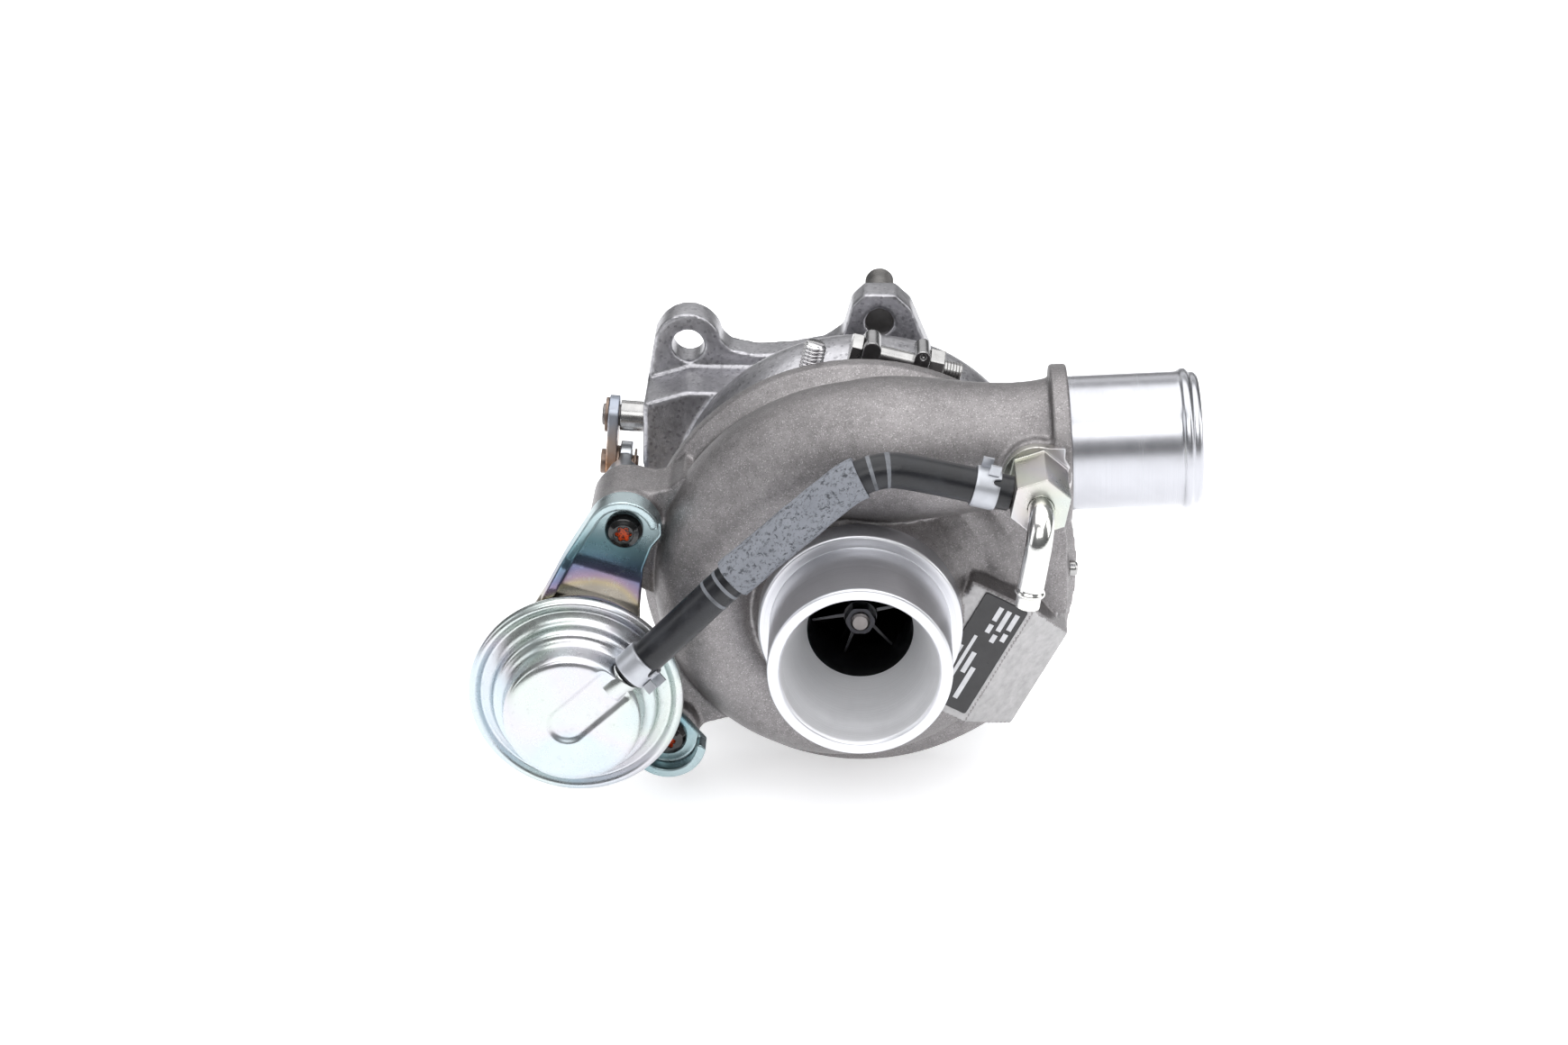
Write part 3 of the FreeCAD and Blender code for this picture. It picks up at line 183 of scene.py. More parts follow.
def sand_cast(name, base, dark, light, metal=0.85, rough=(0.34, 0.5), grain=2600.0, painted_glint=0.5, bump=0.00010, mid_amt=0.5):
    n = N(name)
    big = n.noise(32.0, 4.0, 0.6)
    mid = n.noise(420.0, 4.0, 0.65)
    fine = n.noise(grain, 2.0, 0.7)
    c = n.ramp(big, [(0.3, dark), (0.52, base), (0.75, light)])
    c = n.mix(mid_amt, c, n.ramp(mid, [(0.35, dark), (0.65, light)]))
    vor = n.new("ShaderNodeTexVoronoi")
    vor.inputs["Scale"].default_value = grain
    n.link(n.tc.outputs["Object"], vor.inputs["Vector"])
    sep = n.xyz(vor.outputs["Color"])
    # painted highlight: the brightest voronoi cells mix a colour up to 2.2 times the light tone into the base colour as
    # painted glints of light off the grains
    c = n.mix(n.math("MULTIPLY", n.ramp(sep[0], [(0.86, 0.0), (0.97, 1.0)]), painted_glint), c, tuple(min(1.0, v * 2.2) for v in light))
    c = n.mix(n.math("MULTIPLY", n.ramp(sep[1], [(0.05, 1.0), (0.16, 0.0)]), 0.45), c, tuple(v * 0.5 for v in dark))
    n.col(c)
    r = n.new("ShaderNodeMapRange")
    r.inputs["To Min"].default_value, r.inputs["To Max"].default_value = rough
    n.link(mid, r.inputs["Value"])
    n.set(metal=metal, rough=r.outputs[0])
    h = n.math("ADD", n.math("MULTIPLY", fine, 0.9), n.math("MULTIPLY", mid, 1.3))
    n.set(normal=n.bump(h, bump, 1.0))
    return n.m


def turned(name, base, axis="Y", rough=0.24, aniso=0.6, pitch=4200.0, bump=0.000006, metal=1.0, dirt=0.0):
    """Lathe-turned metal; the object's origin is on the turning axis."""
    n = N(name)
    x, y, z = n.xyz()[0:3]
    along = {"X": x, "Y": y, "Z": z}[axis]
    o = [v for k, v in zip("XYZ", (x, y, z)) if k != axis]
    rad = n.math("SQRT", n.math("ADD", n.math("MULTIPLY", o[0], o[0]), n.math("MULTIPLY", o[1], o[1])))
    cmb = n.new("ShaderNodeCombineXYZ")
    n.link(along, cmb.inputs[0])
    n.link(rad, cmb.inputs[1])
    lines = n.noise(pitch, 4.0, 0.8, cmb.outputs[0])
    broad = n.noise(pitch * 0.09, 2.0, 0.5, cmb.outputs[0])
    blot = n.noise(60.0, 4.0, 0.6)
    c = n.mix(n.ramp(lines, [(0.35, 0.0), (0.7, 1.0)]), tuple(v * 0.86 for v in base), base)
    c = n.mix(n.math("MULTIPLY", n.ramp(blot, [(0.5, 0.0), (0.72, 1.0)]), 0.25 + dirt), c, tuple(v * 0.6 for v in base))
    n.col(c)
    rr = n.new("ShaderNodeMapRange")
    rr.inputs["To Min"].default_value, rr.inputs["To Max"].default_value = rough * 0.8, rough * 1.35
    n.link(n.math("MULTIPLY", n.math("ADD", lines, broad), 0.5), rr.inputs["Value"])
    n.set(metal=metal, rough=rr.outputs[0], aniso=aniso)
    n.set(normal=n.bump(n.math("ADD", lines, n.math("MULTIPLY", broad, 1.5)), bump, 1.0))
    t = n.new("ShaderNodeTangent", direction_type="RADIAL", axis=axis)
    n.link(t.outputs[0], n.b.inputs["Tangent"])
    return n.m


def zinc(name, base=(0.74, 0.76, 0.77), irid=0.35, rough=0.23, gold=0.0, bump=0.00002):
    """Bright passivated zinc with a faint drifting tint."""
    n = N(name)
    drift = n.noise(26.0, 2.0, 0.5, dist=0.6)
    tint = n.ramp(drift, [(0.30, (0.66, 0.78, 0.80)), (0.42, (0.80, 0.82, 0.72)), (0.50, (0.84, 0.72, 0.78)), (0.58, (0.68, 0.76, 0.86)), (0.72, (0.78, 0.84, 0.80))])
    c = n.mix(irid, base, tint)
    if gold:
        g = n.ramp(n.noise(45.0, 3.0, 0.5, dist=0.4), [(0.42, 0.0), (0.62, 1.0)])
        c = n.mix(n.math("MULTIPLY", g, gold), c, (0.76, 0.66, 0.42))
    spots = n.ramp(n.noise(520.0, 3.0, 0.6), [(0.62, 0.0), (0.74, 1.0)])
    c = n.mix(n.math("MULTIPLY", spots, 0.22), c, tuple(v * 0.55 for v in base))
    n.col(c)
    rr = n.new("ShaderNodeMapRange")
    rr.inputs["To Min"].default_value, rr.inputs["To Max"].default_value = rough * 0.7, rough * 1.6
    n.link(n.noise(180.0, 4.0, 0.65), rr.inputs["Value"])
    n.set(metal=1.0, rough=rr.outputs[0])
    n.set(normal=n.bump(n.noise(900.0, 3.0, 0.6), bump, 1.0))
    return n.m


def bracket_zinc():
    """Passivated sheet with painted shade: pale at the ears, teal to violet along the arm, darkest just outside the can
    rim, straw at the can.
    """
    n = N("zinc_bracket_tint_and_shade")
    p = n.xyz()
    ax, az = P(-71.7, 0, 0).x, P(0, 0, -14.9).z
    dx, dz = n.math("SUBTRACT", p[0], ax), n.math("SUBTRACT", p[2], az)
    r = n.math("SQRT", n.math("ADD", n.math("MULTIPLY", dx, dx), n.math("MULTIPLY", dz, dz)))
    r = n.math("ADD", r, n.math("MULTIPLY", n.math("SUBTRACT", n.noise(60.0, 3.0, 0.5, dist=0.3), 0.5), 0.0035))
    h = n.new("ShaderNodeMapRange")
    h.inputs["From Min"].default_value, h.inputs["From Max"].default_value = 0.021, 0.045
    n.link(r, h.inputs["Value"])
    # painted shade: the ramp darkens to near-black blue and violet just outside the can rim and brightens to pale at
    # the ears, copying how light falls along the bend; the teal, violet and straw hues are passivation tint
    c = n.ramp(h.outputs[0], [(0.0, (0.22, 0.20, 0.17)), (0.05, (0.26, 0.22, 0.15)), (0.10, (0.20, 0.15, 0.20)), (0.17, (0.12, 0.12, 0.20)), (0.30, (0.11, 0.18, 0.24)),
                              (0.48, (0.20, 0.33, 0.37)), (0.70, (0.36, 0.47, 0.49)), (1.0, (0.45, 0.54, 0.56))])
    spots = n.ramp(n.noise(620.0, 3.0, 0.6), [(0.60, 0.0), (0.72, 1.0)])
    c = n.mix(n.math("MULTIPLY", spots, 0.3), c, (0.28, 0.33, 0.35))
    n.col(c)
    rr = n.new("ShaderNodeMapRange")
    rr.inputs["To Min"].default_value, rr.inputs["To Max"].default_value = 0.20, 0.36
    n.link(n.noise(180.0, 4.0, 0.65), rr.inputs["Value"])
    n.set(metal=1.0, rough=rr.outputs[0])
    n.set(normal=n.bump(n.noise(1500.0, 2.0, 0.6), 0.000012, 1.0))
    return n.m


def rubber(name, base, dust, amount=0.3, rough=0.5, grain=2200.0, streak=None, speck=None):
    n = N(name)
    d = n.ramp(n.noise(95.0, 5.0, 0.65, n.mapped((1, 1, 1), rot=(0.4, 0.8, 0.2)), 0.4), [(0.40, 0.0), (0.72, 1.0)])
    c = n.mix(n.math("MULTIPLY", d, amount), base, dust)
    if speck:
        s = n.ramp(n.noise(900.0, 5.0, 0.75, dist=0.4), [(0.51, 0.0), (0.62, 1.0)])
        c = n.mix(n.math("MULTIPLY", s, 0.85), c, speck)
        s2 = n.ramp(n.noise(210.0, 5.0, 0.75, dist=0.6), [(0.54, 0.0), (0.72, 1.0)])
        c = n.mix(n.math("MULTIPLY", s2, 0.5), c, speck)
    n.col(c)
    rr = n.new("ShaderNodeMapRange")
    rr.inputs["To Min"].default_value, rr.inputs["To Max"].default_value = rough * 0.8, min(1.0, rough * 1.4)
    n.link(d, rr.inputs["Value"])
    n.set(metal=0.0, rough=rr.outputs[0], spec=0.45)
    n.set(normal=n.bump(n.noise(grain, 3.0, 0.6), 0.00005, 1.0))
    return n.m


def plain(name, base, metal=1.0, rough=0.3, var=0.25, scale=160.0, bump=0.00003, coat=0.0):
    n = N(name)
    v = n.noise(scale, 4.0, 0.6)
    n.col(n.ramp(v, [(0.3, tuple(x * (1 - var) for x in base)), (0.7, base)]))
    rr = n.new("ShaderNodeMapRange")
    rr.inputs["To Min"].default_value, rr.inputs["To Max"].default_value = rough * 0.75, min(1.0, rough * 1.35)
    n.link(n.noise(scale * 2.3, 3.0, 0.6), rr.inputs["Value"])
    n.set(metal=metal, rough=rr.outputs[0], coat=coat, coatr=0.08)
    n.set(normal=n.bump(n.noise(scale * 6, 2.0, 0.6), bump, 1.0))
    return n.m


# both castings carry painted glints in their base colour from the bright voronoi cells
CAST = sand_cast("cast_sand_aluminium", (0.265, 0.252, 0.254), (0.185, 0.175, 0.177), (0.36, 0.345, 0.348), grain=4300.0, painted_glint=0.30, bump=0.00008, mid_amt=0.32)
PAD = plain("pad_machined_skin", (0.46, 0.452, 0.455), 0.8, 0.42, 0.25, 420.0, 0.00005)
IRON = sand_cast("cast_iron_blue_grey", (0.41, 0.406, 0.428), (0.28, 0.277, 0.294), (0.54, 0.534, 0.558), 0.95, (0.26, 0.40), 1500.0, 0.12, 0.00007, 0.35)
TURN_Y = turned("turned_aluminium_y", (0.90, 0.90, 0.91), "Y", 0.22, 0.65)
TURN_Z = turned("turned_aluminium_z", (0.76, 0.765, 0.80), "Z", 0.30, 0.55, metal=0.9)
TURN_PIPE = turned("turned_aluminium_pipe", (0.56, 0.565, 0.60), "Z", 0.24, 0.5, metal=1.0)
BOWL = turned("turned_bell_mouth", (0.97, 0.972, 0.99), "Z", 0.34, 0.6, metal=0.45)
# painted shade: the throat beyond the bell mouth is given a near-black base colour for the shade deep inside the inlet
THROAT_PAINTED_SHADE = turned("throat_painted_shade", (0.05, 0.051, 0.055), "Z", 0.40, 0.3, metal=0.9)
ZINC_CAN = zinc("zinc_can", (0.43, 0.485, 0.50), 0.36, 0.24, bump=0.000008)
ZINC_BR_TINT_AND_SHADE = bracket_zinc()
ZINC_ROD = zinc("zinc_rod_end", (0.52, 0.53, 0.55), 0.2, 0.28)
ZINC_UN = zinc("zinc_union", (0.40, 0.43, 0.43), 0.35, 0.26, 0.22, bump=0.00001)
ZINC_PIPE = zinc("zinc_pipe", (0.72, 0.735, 0.73), 0.2, 0.14, 0.08, bump=0.000006)
ZINC_STUD = zinc("zinc_stud", (0.55, 0.57, 0.575), 0.25, 0.22, bump=0.000006)
STEEL = plain("steel_bright", (0.46, 0.455, 0.45), 1.0, 0.24, 0.25, bump=0.00001)
STEEL_D = plain("steel_dark", (0.16, 0.155, 0.15), 0.9, 0.35, 0.4)
STAINLESS = plain("stainless_band", (0.42, 0.415, 0.42), 1.0, 0.18, 0.3, 90.0, 0.00001)
CLIP = plain("clip_aluminium", (0.50, 0.515, 0.55), 0.8, 0.38, 0.12, 300.0, 0.00001)
HOSE = rubber("hose_rubber", (0.008, 0.0085, 0.011), (0.07, 0.075, 0.09), 0.24, 0.36)
HOOP = rubber("hoop_paint", (0.17, 0.18, 0.20), (0.02, 0.022, 0.025), 0.95, 0.5)
SLEEVE = rubber("sleeve_rubber", (0.20, 0.212, 0.24), (0.31, 0.325, 0.36), 0.6, 0.75, 2300.0, speck=(0.030, 0.032, 0.038))
BLACK = plain("screw_black", (0.012, 0.012, 0.012), 0.3, 0.16, 0.3, 200.0, 0.00001, 0.6)
PLATE = plain("plate_black", (0.030, 0.029, 0.031), 0.2, 0.30, 0.3, 260.0, 0.00001, 0.25)
PRINT = plain("plate_print", (0.62, 0.62, 0.64), 0.4, 0.35, 0.15, 400.0, 0.00001)
BRONZE = plain("bronze", (0.62, 0.42, 0.20), 1.0, 0.25, 0.2)
ORING = rubber("o_ring_rubber", (0.015, 0.015, 0.015), (0.05, 0.05, 0.05), 0.2, 0.4)
# painted shade: the compressor wheel inside the inlet is given a near-black base colour for the shade it sits in, not
# bright aluminium
WHEEL_PAINTED_SHADE = plain("wheel_aluminium_painted_shade", (0.075, 0.076, 0.08), 1.0, 0.30, 0.2)
HOT = plain("hot_alloy", (0.26, 0.24, 0.235), 0.95, 0.36, 0.35)
# painted shade: the shaft nut and thrust collar inside the housing are given a near-black base colour for the shade
# they sit in, not bright ground steel
STEEL_PAINTED_SHADE = plain("ground_steel_painted_shade", (0.045, 0.045, 0.05), 1.0, 0.30, 0.1)


def orange_paint():
    n = N("thread_paint_orange")
    f = n.ramp(n.noise(900.0, 4.0, 0.7, dist=0.6), [(0.44, 0.0), (0.52, 1.0)])
    n.col(n.mix(f, (0.02, 0.012, 0.010), (0.80, 0.11, 0.015)))
    n.set(metal=0.0, rough=0.32, spec=0.6)
    n.set(normal=n.bump(n.noise(1400.0, 3.0, 0.6), 0.0001, 1.0))
    return n.m


ORANGE = orange_paint()


def heat_tint():
    """Lever steel: blue-grey at the spindle end, straw and brown toward the pin."""
    n = N("lever_heat_tint")
    z = n.xyz()[2]
    h = n.new("ShaderNodeMapRange")
    h.inputs["From Min"].default_value, h.inputs["From Max"].default_value = P(0, 0, 2.0).z, P(0, 0, 26.0).z
    n.link(n.math("ADD", z, n.math("MULTIPLY", n.math("SUBTRACT", n.noise(170.0, 4.0, 0.6), 0.5), 0.010)), h.inputs["Value"])
    c = n.ramp(h.outputs[0], [(0.0, (0.22, 0.15, 0.115)), (0.28, (0.42, 0.24, 0.15)), (0.5, (0.50, 0.40, 0.34)), (0.75, (0.40, 0.42, 0.47)), (1.0, (0.33, 0.36, 0.42))])
    n.col(c)
    n.set(metal=0.9, rough=0.36)
    n.set(normal=n.bump(n.noise(700.0, 3.0, 0.6), 0.00004, 1.0))
    return n.m


LEVER_M = heat_tint()
WASHER_M = plain("washer_brown", (0.30, 0.225, 0.185), 0.85, 0.38, 0.5)


# ----------------------------------------------------------------- meshes
def link(o):
    bpy.context.scene.collection.objects.link(o)
    return o


def mesh_obj(name, verts, faces, mat, origin=None, smooth=True):
    """verts in the row frame; origin puts the object's own origin somewhere."""
    o = Vector(origin) if origin is not None else Vector((0, 0, 0))
    me = bpy.data.meshes.new(name)
    me.from_pydata([tuple(Vector(v) - o) for v in verts], [], [tuple(f) for f in faces])
    me.validate()
    me.polygons.foreach_set("use_smooth", [smooth] * len(me.polygons))
    ob = link(bpy.data.objects.new(name, me))
    ob.location = o
    for m in (mat if isinstance(mat, (list, tuple)) else [mat]):
        me.materials.append(m)
    return ob


def rounded(prof, r=0.3, n=4):
    """Rounds the corners of an open or closed (r, y) profile by radius r, mm."""
    out = []
    k = len(prof)
    closed = prof[0] == prof[-1]
    pts = prof[:-1] if closed else prof
    k = len(pts)
    for i in range(k):
        p = pts[i]
        rr = p[2] if len(p) > 2 else r
        if (not closed and i in (0, k - 1)) or rr <= 0:
            out.append((p[0], p[1]))
            continue
        a, b = pts[i - 1], pts[(i + 1) % k]
        va, vb = Vector((a[0] - p[0], a[1] - p[1])), Vector((b[0] - p[0], b[1] - p[1]))
        la, lb = va.length, vb.length
        t = min(rr, la * 0.45, lb * 0.45)
        va.normalize()
        vb.normalize()
        q0, q1 = Vector(p[:2]) + va * t, Vector(p[:2]) + vb * t
        for j in range(n + 1):
            s = j / n
            q = q0 * (1 - s) ** 2 + Vector(p[:2]) * 2 * s * (1 - s) + q1 * s ** 2
            out.append((q.x, q.y))
    return out + ([out[0]] if closed else [])


def lathe(name, prof, origin, axis, mat, seg=144, body=ROOT, rep=(), fine=0.0):
    """Closed or open profile (radius, along) in mm turned about axis through origin (shaft mm)."""
    o, a = P(*origin), Vector(axis).normalized()
    u = Vector((0, 1, 0)) if abs(a.y) < 0.5 else Vector((1, 0, 0))
    u = (u - a * u.dot(a)).normalized()
    w = a.cross(u)
    closed = prof[0] == prof[-1]
    if fine:
        out = []
        for i in range(len(prof) - 1):
            p, q = prof[i], prof[i + 1]
            m = max(1, int(math.hypot(q[0] - p[0], q[1] - p[1]) / fine))
            out += [(p[0] + (q[0] - p[0]) * j / m, p[1] + (q[1] - p[1]) * j / m) for j in range(m)]
        prof = out + [prof[-1]]
    pts = prof[:-1] if closed else prof
    verts, faces = [], []
    for r, y in pts:
        for k in range(seg):
            t = 2 * math.pi * k / seg
            verts.append(o + (u * (math.cos(t) * r) + w * (math.sin(t) * r) + a * y) * 0.001)
    m = len(pts)
    for i in range(m if closed else m - 1):
        j = (i + 1) % m
        for k in range(seg):
            k2 = (k + 1) % seg
            faces.append((i * seg + k, i * seg + k2, j * seg + k2, j * seg + k))
    if not closed:
        faces.append(tuple(range(seg - 1, -1, -1)))
        faces.append(tuple((m - 1) * seg + k for k in range(seg)))
    # own object space: z along the axis
    R = Matrix((u, w, a)).transposed().to_4x4()
    T = Matrix.Translation(o) @ R
    inv = T.inverted()
    me = bpy.data.meshes.new(name)
    me.from_pydata([tuple(inv @ v) for v in verts], [], faces)
    bm = bmesh.new()
    bm.from_mesh(me)
    bmesh.ops.remove_doubles(bm, verts=bm.verts, dist=1e-7)
    bmesh.ops.dissolve_degenerate(bm, edges=bm.edges, dist=1e-8)
    bmesh.ops.recalc_face_normals(bm, faces=bm.faces)
    bm.to_mesh(me)
    bm.free()
    me.polygons.foreach_set("use_smooth", [True] * len(me.polygons))
    ob = link(bpy.data.objects.new(name, me))
    ob.matrix_world = T
    me.materials.append(mat)
    me.set_sharp_from_angle(angle=math.radians(38))
    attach(ob, body)
    if rep:
        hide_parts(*rep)
    return ob


def grab(node, name, cutters=()):
    """A welded copy of a CAD node's mesh, as a new object in the row frame."""
    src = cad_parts[node]
    me = src.data.copy()
    me.name = name
    me.transform(src.matrix_world)
    bm = bmesh.new()
    bm.from_mesh(me)
    bmesh.ops.remove_doubles(bm, verts=bm.verts, dist=2e-7)
    bm.to_mesh(me)
    bm.free()
    me.materials.clear()
    ob = link(bpy.data.objects.new(name, me))
    for c in cutters:
        md = ob.modifiers.new("cut", "BOOLEAN")
        md.operation, md.object, md.solver = "DIFFERENCE", c, "EXACT"
    return ob


def bake_mods(ob):
    bpy.context.view_layer.update()
    dg = bpy.context.evaluated_depsgraph_get()
    me = bpy.data.meshes.new_from_object(ob.evaluated_get(dg), depsgraph=dg)
    ob.modifiers.clear()
    old = ob.data
    ob.data = me
    me.name = ob.name
    bpy.data.meshes.remove(old)
    return ob


def soften(node, name, voxel, iters, mat, body=ROOT, factor=0.5, cutters=(), smooth=True):
    """Node rebuilt as one rounded skin: welded, remeshed at voxel mm, and relaxed."""
    nodes = (node,) if isinstance(node, str) else tuple(node)
    ob = grab(nodes[0], name, cutters)
    if len(nodes) > 1:
        bm = bmesh.new()
        bm.from_mesh(ob.data)
        for other in nodes[1:]:
            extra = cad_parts[other].data.copy()
            extra.transform(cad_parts[other].matrix_world)
            bm.from_mesh(extra)
            bpy.data.meshes.remove(extra)
        bm.to_mesh(ob.data)
        bm.free()
    md = ob.modifiers.new("remesh", "REMESH")
    md.mode, md.voxel_size, md.adaptivity = "VOXEL", voxel * 0.001, 0.0
    if iters:
        sm = ob.modifiers.new("relax", "SMOOTH")
        sm.factor, sm.iterations = factor, iters
    bake_mods(ob)
    me = ob.data
    me.polygons.foreach_set("use_smooth", [True] * len(me.polygons))
    me.materials.clear()
    for m in (mat if isinstance(mat, (list, tuple)) else [mat]):
        me.materials.append(m)
    for p in me.polygons:
        p.material_index = 0
    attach(ob, body)
    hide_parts(*nodes)
    return ob


def centres(me):
    n = len(me.polygons)
    c, q = np.empty(n * 3), np.empty(n * 3)
    me.polygons.foreach_get("center", c)
    me.polygons.foreach_get("normal", q)
    c = c.reshape(-1, 3) * 1000 - np.array(S)
    return c, q.reshape(-1, 3)


def paint_faces(ob, mask, index):
    me = ob.data
    a = np.empty(len(me.polygons), np.int32)
    me.polygons.foreach_get("material_index", a)
    a[mask] = index
    me.polygons.foreach_set("material_index", a)


def tool(name, prof, origin, axis):
    """A throwaway cutter."""
    ob = lathe(name, prof, origin, axis, STEEL, 96)
    bm = bmesh.new()
    bm.from_mesh(ob.data)
    bmesh.ops.recalc_face_normals(bm, faces=bm.faces)
    bm.to_mesh(ob.data)
    bm.free()
    return ob


def drop(*obs):
    for o in obs:
        bpy.data.objects.remove(o)


def threaded(name, foot, d, length, r, pitch, mat, body=ROOT, rep=(), plain_to=0.0, chamfer=0.8, depth=None, seg=40):
    """A rod with a helical thread from plain_to to its tip, along d from foot (mm)."""
    depth = 0.55 * pitch if depth is None else depth
    o, a = P(*foot), Vector(d).normalized()
    u = a.orthogonal().normalized()
    w = a.cross(u)
    step = pitch / 8.0
    rows = int(length / step)
    verts, faces = [], []
    for i in range(rows + 1):
        s = min(length, i * step)
        for k in range(seg):
            t = 2 * math.pi * k / seg
            ph = (s / pitch - k / seg) % 1.0
            tri = abs(ph * 2 - 1)
            f = min(1.0, max(0.0, (s - plain_to) / pitch))
            rr = r - depth * (1 - min(1.0, tri * 1.25)) * f
            rr = min(rr, r - max(0.0, s - (length - chamfer)))
            verts.append(o + (u * math.cos(t) * rr + w * math.sin(t) * rr + a * s) * 0.001)
    for i in range(rows):
        for k in range(seg):
            k2 = (k + 1) % seg
            faces.append((i * seg + k, i * seg + k2, (i + 1) * seg + k2, (i + 1) * seg + k))
    faces.append(tuple(range(seg - 1, -1, -1)))
    faces.append(tuple(rows * seg + k for k in range(seg)))
    ob = mesh_obj(name, verts, faces, mat)
    ob.data.set_sharp_from_angle(angle=math.radians(50))
    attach(ob, body)
    if rep:
        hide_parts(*rep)
    return ob


# --------------------------------------------------------------- the hose
ROUTE = [(-57.6, 4.15, -3.3), (-45.0, 5.1, 9.0), (-32.0, 6.4, 22.2), (-15.6, 8.7, 36.4),
         (1.6, 11.2, 50.8), (17.0, 12.7, 47.9), (36.1, 13.0, 43.2)]
H = [Vector(p) for p in ROUTE]
hd0 = (H[1] - H[0]).normalized()
hde = (H[-1] - H[-2]).normalized()


def nurbs(name, bevel=None):
    cu = bpy.data.curves.new(name, "CURVE")
    cu.dimensions = "3D"
    sp = cu.splines.new("NURBS")
    sp.points.add(len(ROUTE) - 1)
    for p, q in zip(sp.points, ROUTE):
        p.co = (*P(*q), 1.0)
    sp.order_u = 3
    sp.use_endpoint_u = True
    sp.resolution_u = 24
    if bevel:
        cu.bevel_depth = bevel
        cu.bevel_resolution = 12
        cu.use_fill_caps = True
    return link(bpy.data.objects.new(name, cu))


probe = nurbs("hose_probe")
bpy.context.view_layer.update()
dg = bpy.context.evaluated_depsgraph_get()
pm = bpy.data.meshes.new_from_object(probe.evaluated_get(dg), depsgraph=dg)
LINE = [v.co.copy() for v in pm.vertices]
bpy.data.objects.remove(probe)
ARC = [0.0]
for a_, b_ in zip(LINE, LINE[1:]):
    ARC.append(ARC[-1] + (b_ - a_).length)
HLEN = ARC[-1]


def at(s):
    """Point and direction s metres along the hose's line."""
    s = max(0.0, min(HLEN, s))
    i = max(1, int(np.searchsorted(ARC, s)))
    i = min(i, len(LINE) - 1)
    t = (s - ARC[i - 1]) / max(1e-9, ARC[i] - ARC[i - 1])
    i0, i1 = max(0, i - 2), min(len(LINE) - 1, i + 1)
    return LINE[i - 1].lerp(LINE[i], t), (LINE[i1] - LINE[i0]).normalized()


def along(name, s0, s1, prof, mat, seg=64, step=0.0008, body=ROOT, wob=None):
    """A ring section (outer/inner closed tube) that follows the hose; prof(s)->(ro, ri) in mm."""
    n = max(2, int((s1 - s0) / step))
    verts, faces = [], []
    up = Vector((0, -1, 0))
    rows = []
    for i in range(n + 1):
        s = s0 + (s1 - s0) * i / n
        c, d = at(s)
        u = (up - d * up.dot(d)).normalized()
        w = d.cross(u)
        ro, ri = prof(s)
        rows.append((c, u, w, ro, ri, s))
    for which in (3, 4):
        for row in rows:
            c, u, w = row[0], row[1], row[2]
            for k in range(seg):
                t = 2 * math.pi * k / seg
                r = row[which]
                if wob and which == 3:
                    r += wob(row[5], t)
                verts.append(c + (u * math.cos(t) + w * math.sin(t)) * r * 0.001)
    m = (n + 1) * seg
    for i in range(n):
        for k in range(seg):
            k2 = (k + 1) % seg
            faces.append((i * seg + k, i * seg + k2, (i + 1) * seg + k2, (i + 1) * seg + k))
            faces.append((m + i * seg + k, m + (i + 1) * seg + k, m + (i + 1) * seg + k2, m + i * seg + k2))
    for i in (0, n):
        for k in range(seg):
            k2 = (k + 1) % seg
            f = (i * seg + k, m + i * seg + k, m + i * seg + k2, i * seg + k2)
            faces.append(f if i == 0 else f[::-1])
    ob = mesh_obj(name, verts, faces, mat)
    bm = bmesh.new()
    bm.from_mesh(ob.data)
    bmesh.ops.recalc_face_normals(bm, faces=bm.faces)
    bm.to_mesh(ob.data)
    bm.free()
    ob.data.polygons.foreach_set("use_smooth", [True] * len(ob.data.polygons))
    ob.data.set_sharp_from_angle(angle=math.radians(50))
    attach(ob, body)
    return ob


hose = nurbs("boost_hose_rubber", 0.0044)
hose.data.materials.append(HOSE)
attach(hose, ROOT)
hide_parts("boost_hose")


def s_of(p):
    q = P(*p)
    k = min(range(len(LINE)), key=lambda i: (LINE[i] - q).length)
    return ARC[k]


sA, sB = s_of((-31.5, 6.5, 22.6)), s_of((-0.9, 11.0, 48.4))
sleeve = along("sleeve_rubber", sA, sB, lambda s: (5.3, 4.42), SLEEVE, 72, 0.0005,
               wob=lambda s, t: 0.10 * math.sin(3 * t + 90 * s) + 0.06 * math.sin(2 * t + 310 * s) + 0.05 * math.sin(5 * t - 700 * s))
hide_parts("hose_sleeve")
hoops = []
for k, (s0, gap) in enumerate(((sA - 0.0062, 0.0), (sA - 0.0024, 0.0), (sB + 0.0030, 0.0), (sB + 0.0068, 0.0))):
    hoops.append(along("hose_hoop_%d" % (k + 1), s0 - 0.00045, s0 + 0.00045, lambda s: (4.46, 4.30), HOOP, 64, 0.0003))

# ------------------------------------------------------- compressor casting
cut1 = tool("cut_spigot", rounded([(0, -5), (25.4, -5), (25.4, 29.0), (15.2, 29.0), (15.2, 50.0), (0, 50.0)], 0), (0, 0, 0), (0, 1, 0))
dd = Vector((math.cos(math.radians(3.4)), 0, math.sin(math.radians(3.4))))
ddc = Vector((0, 42.0, 40.9))
casting = soften("compressor_housing", "compressor_casting", 0.55, 9, [CAST, PAD, TURN_Y], cutters=[cut1])
drop(cut1)
c, q = centres(casting.data)
e1, e2, PB = np.array((-0.46, 0, -0.888)), np.array((0.888, 0, -0.46)), np.array((43.3, 33.0, 0.8))
ca, cb = (c - PB) @ e2, (c - PB) @ e1
paint_faces(casting, (np.abs(c[:, 1] - 33.0) < 0.45) & (q[:, 1] < -0.96) & (ca < 0.6) & (ca > -17) & (cb > -1) & (cb < 38), 1)
slope = np.array((0.0, 0.0, 0.0)) + e2 * (-0.64) + np.array((0, -0.768, 0))
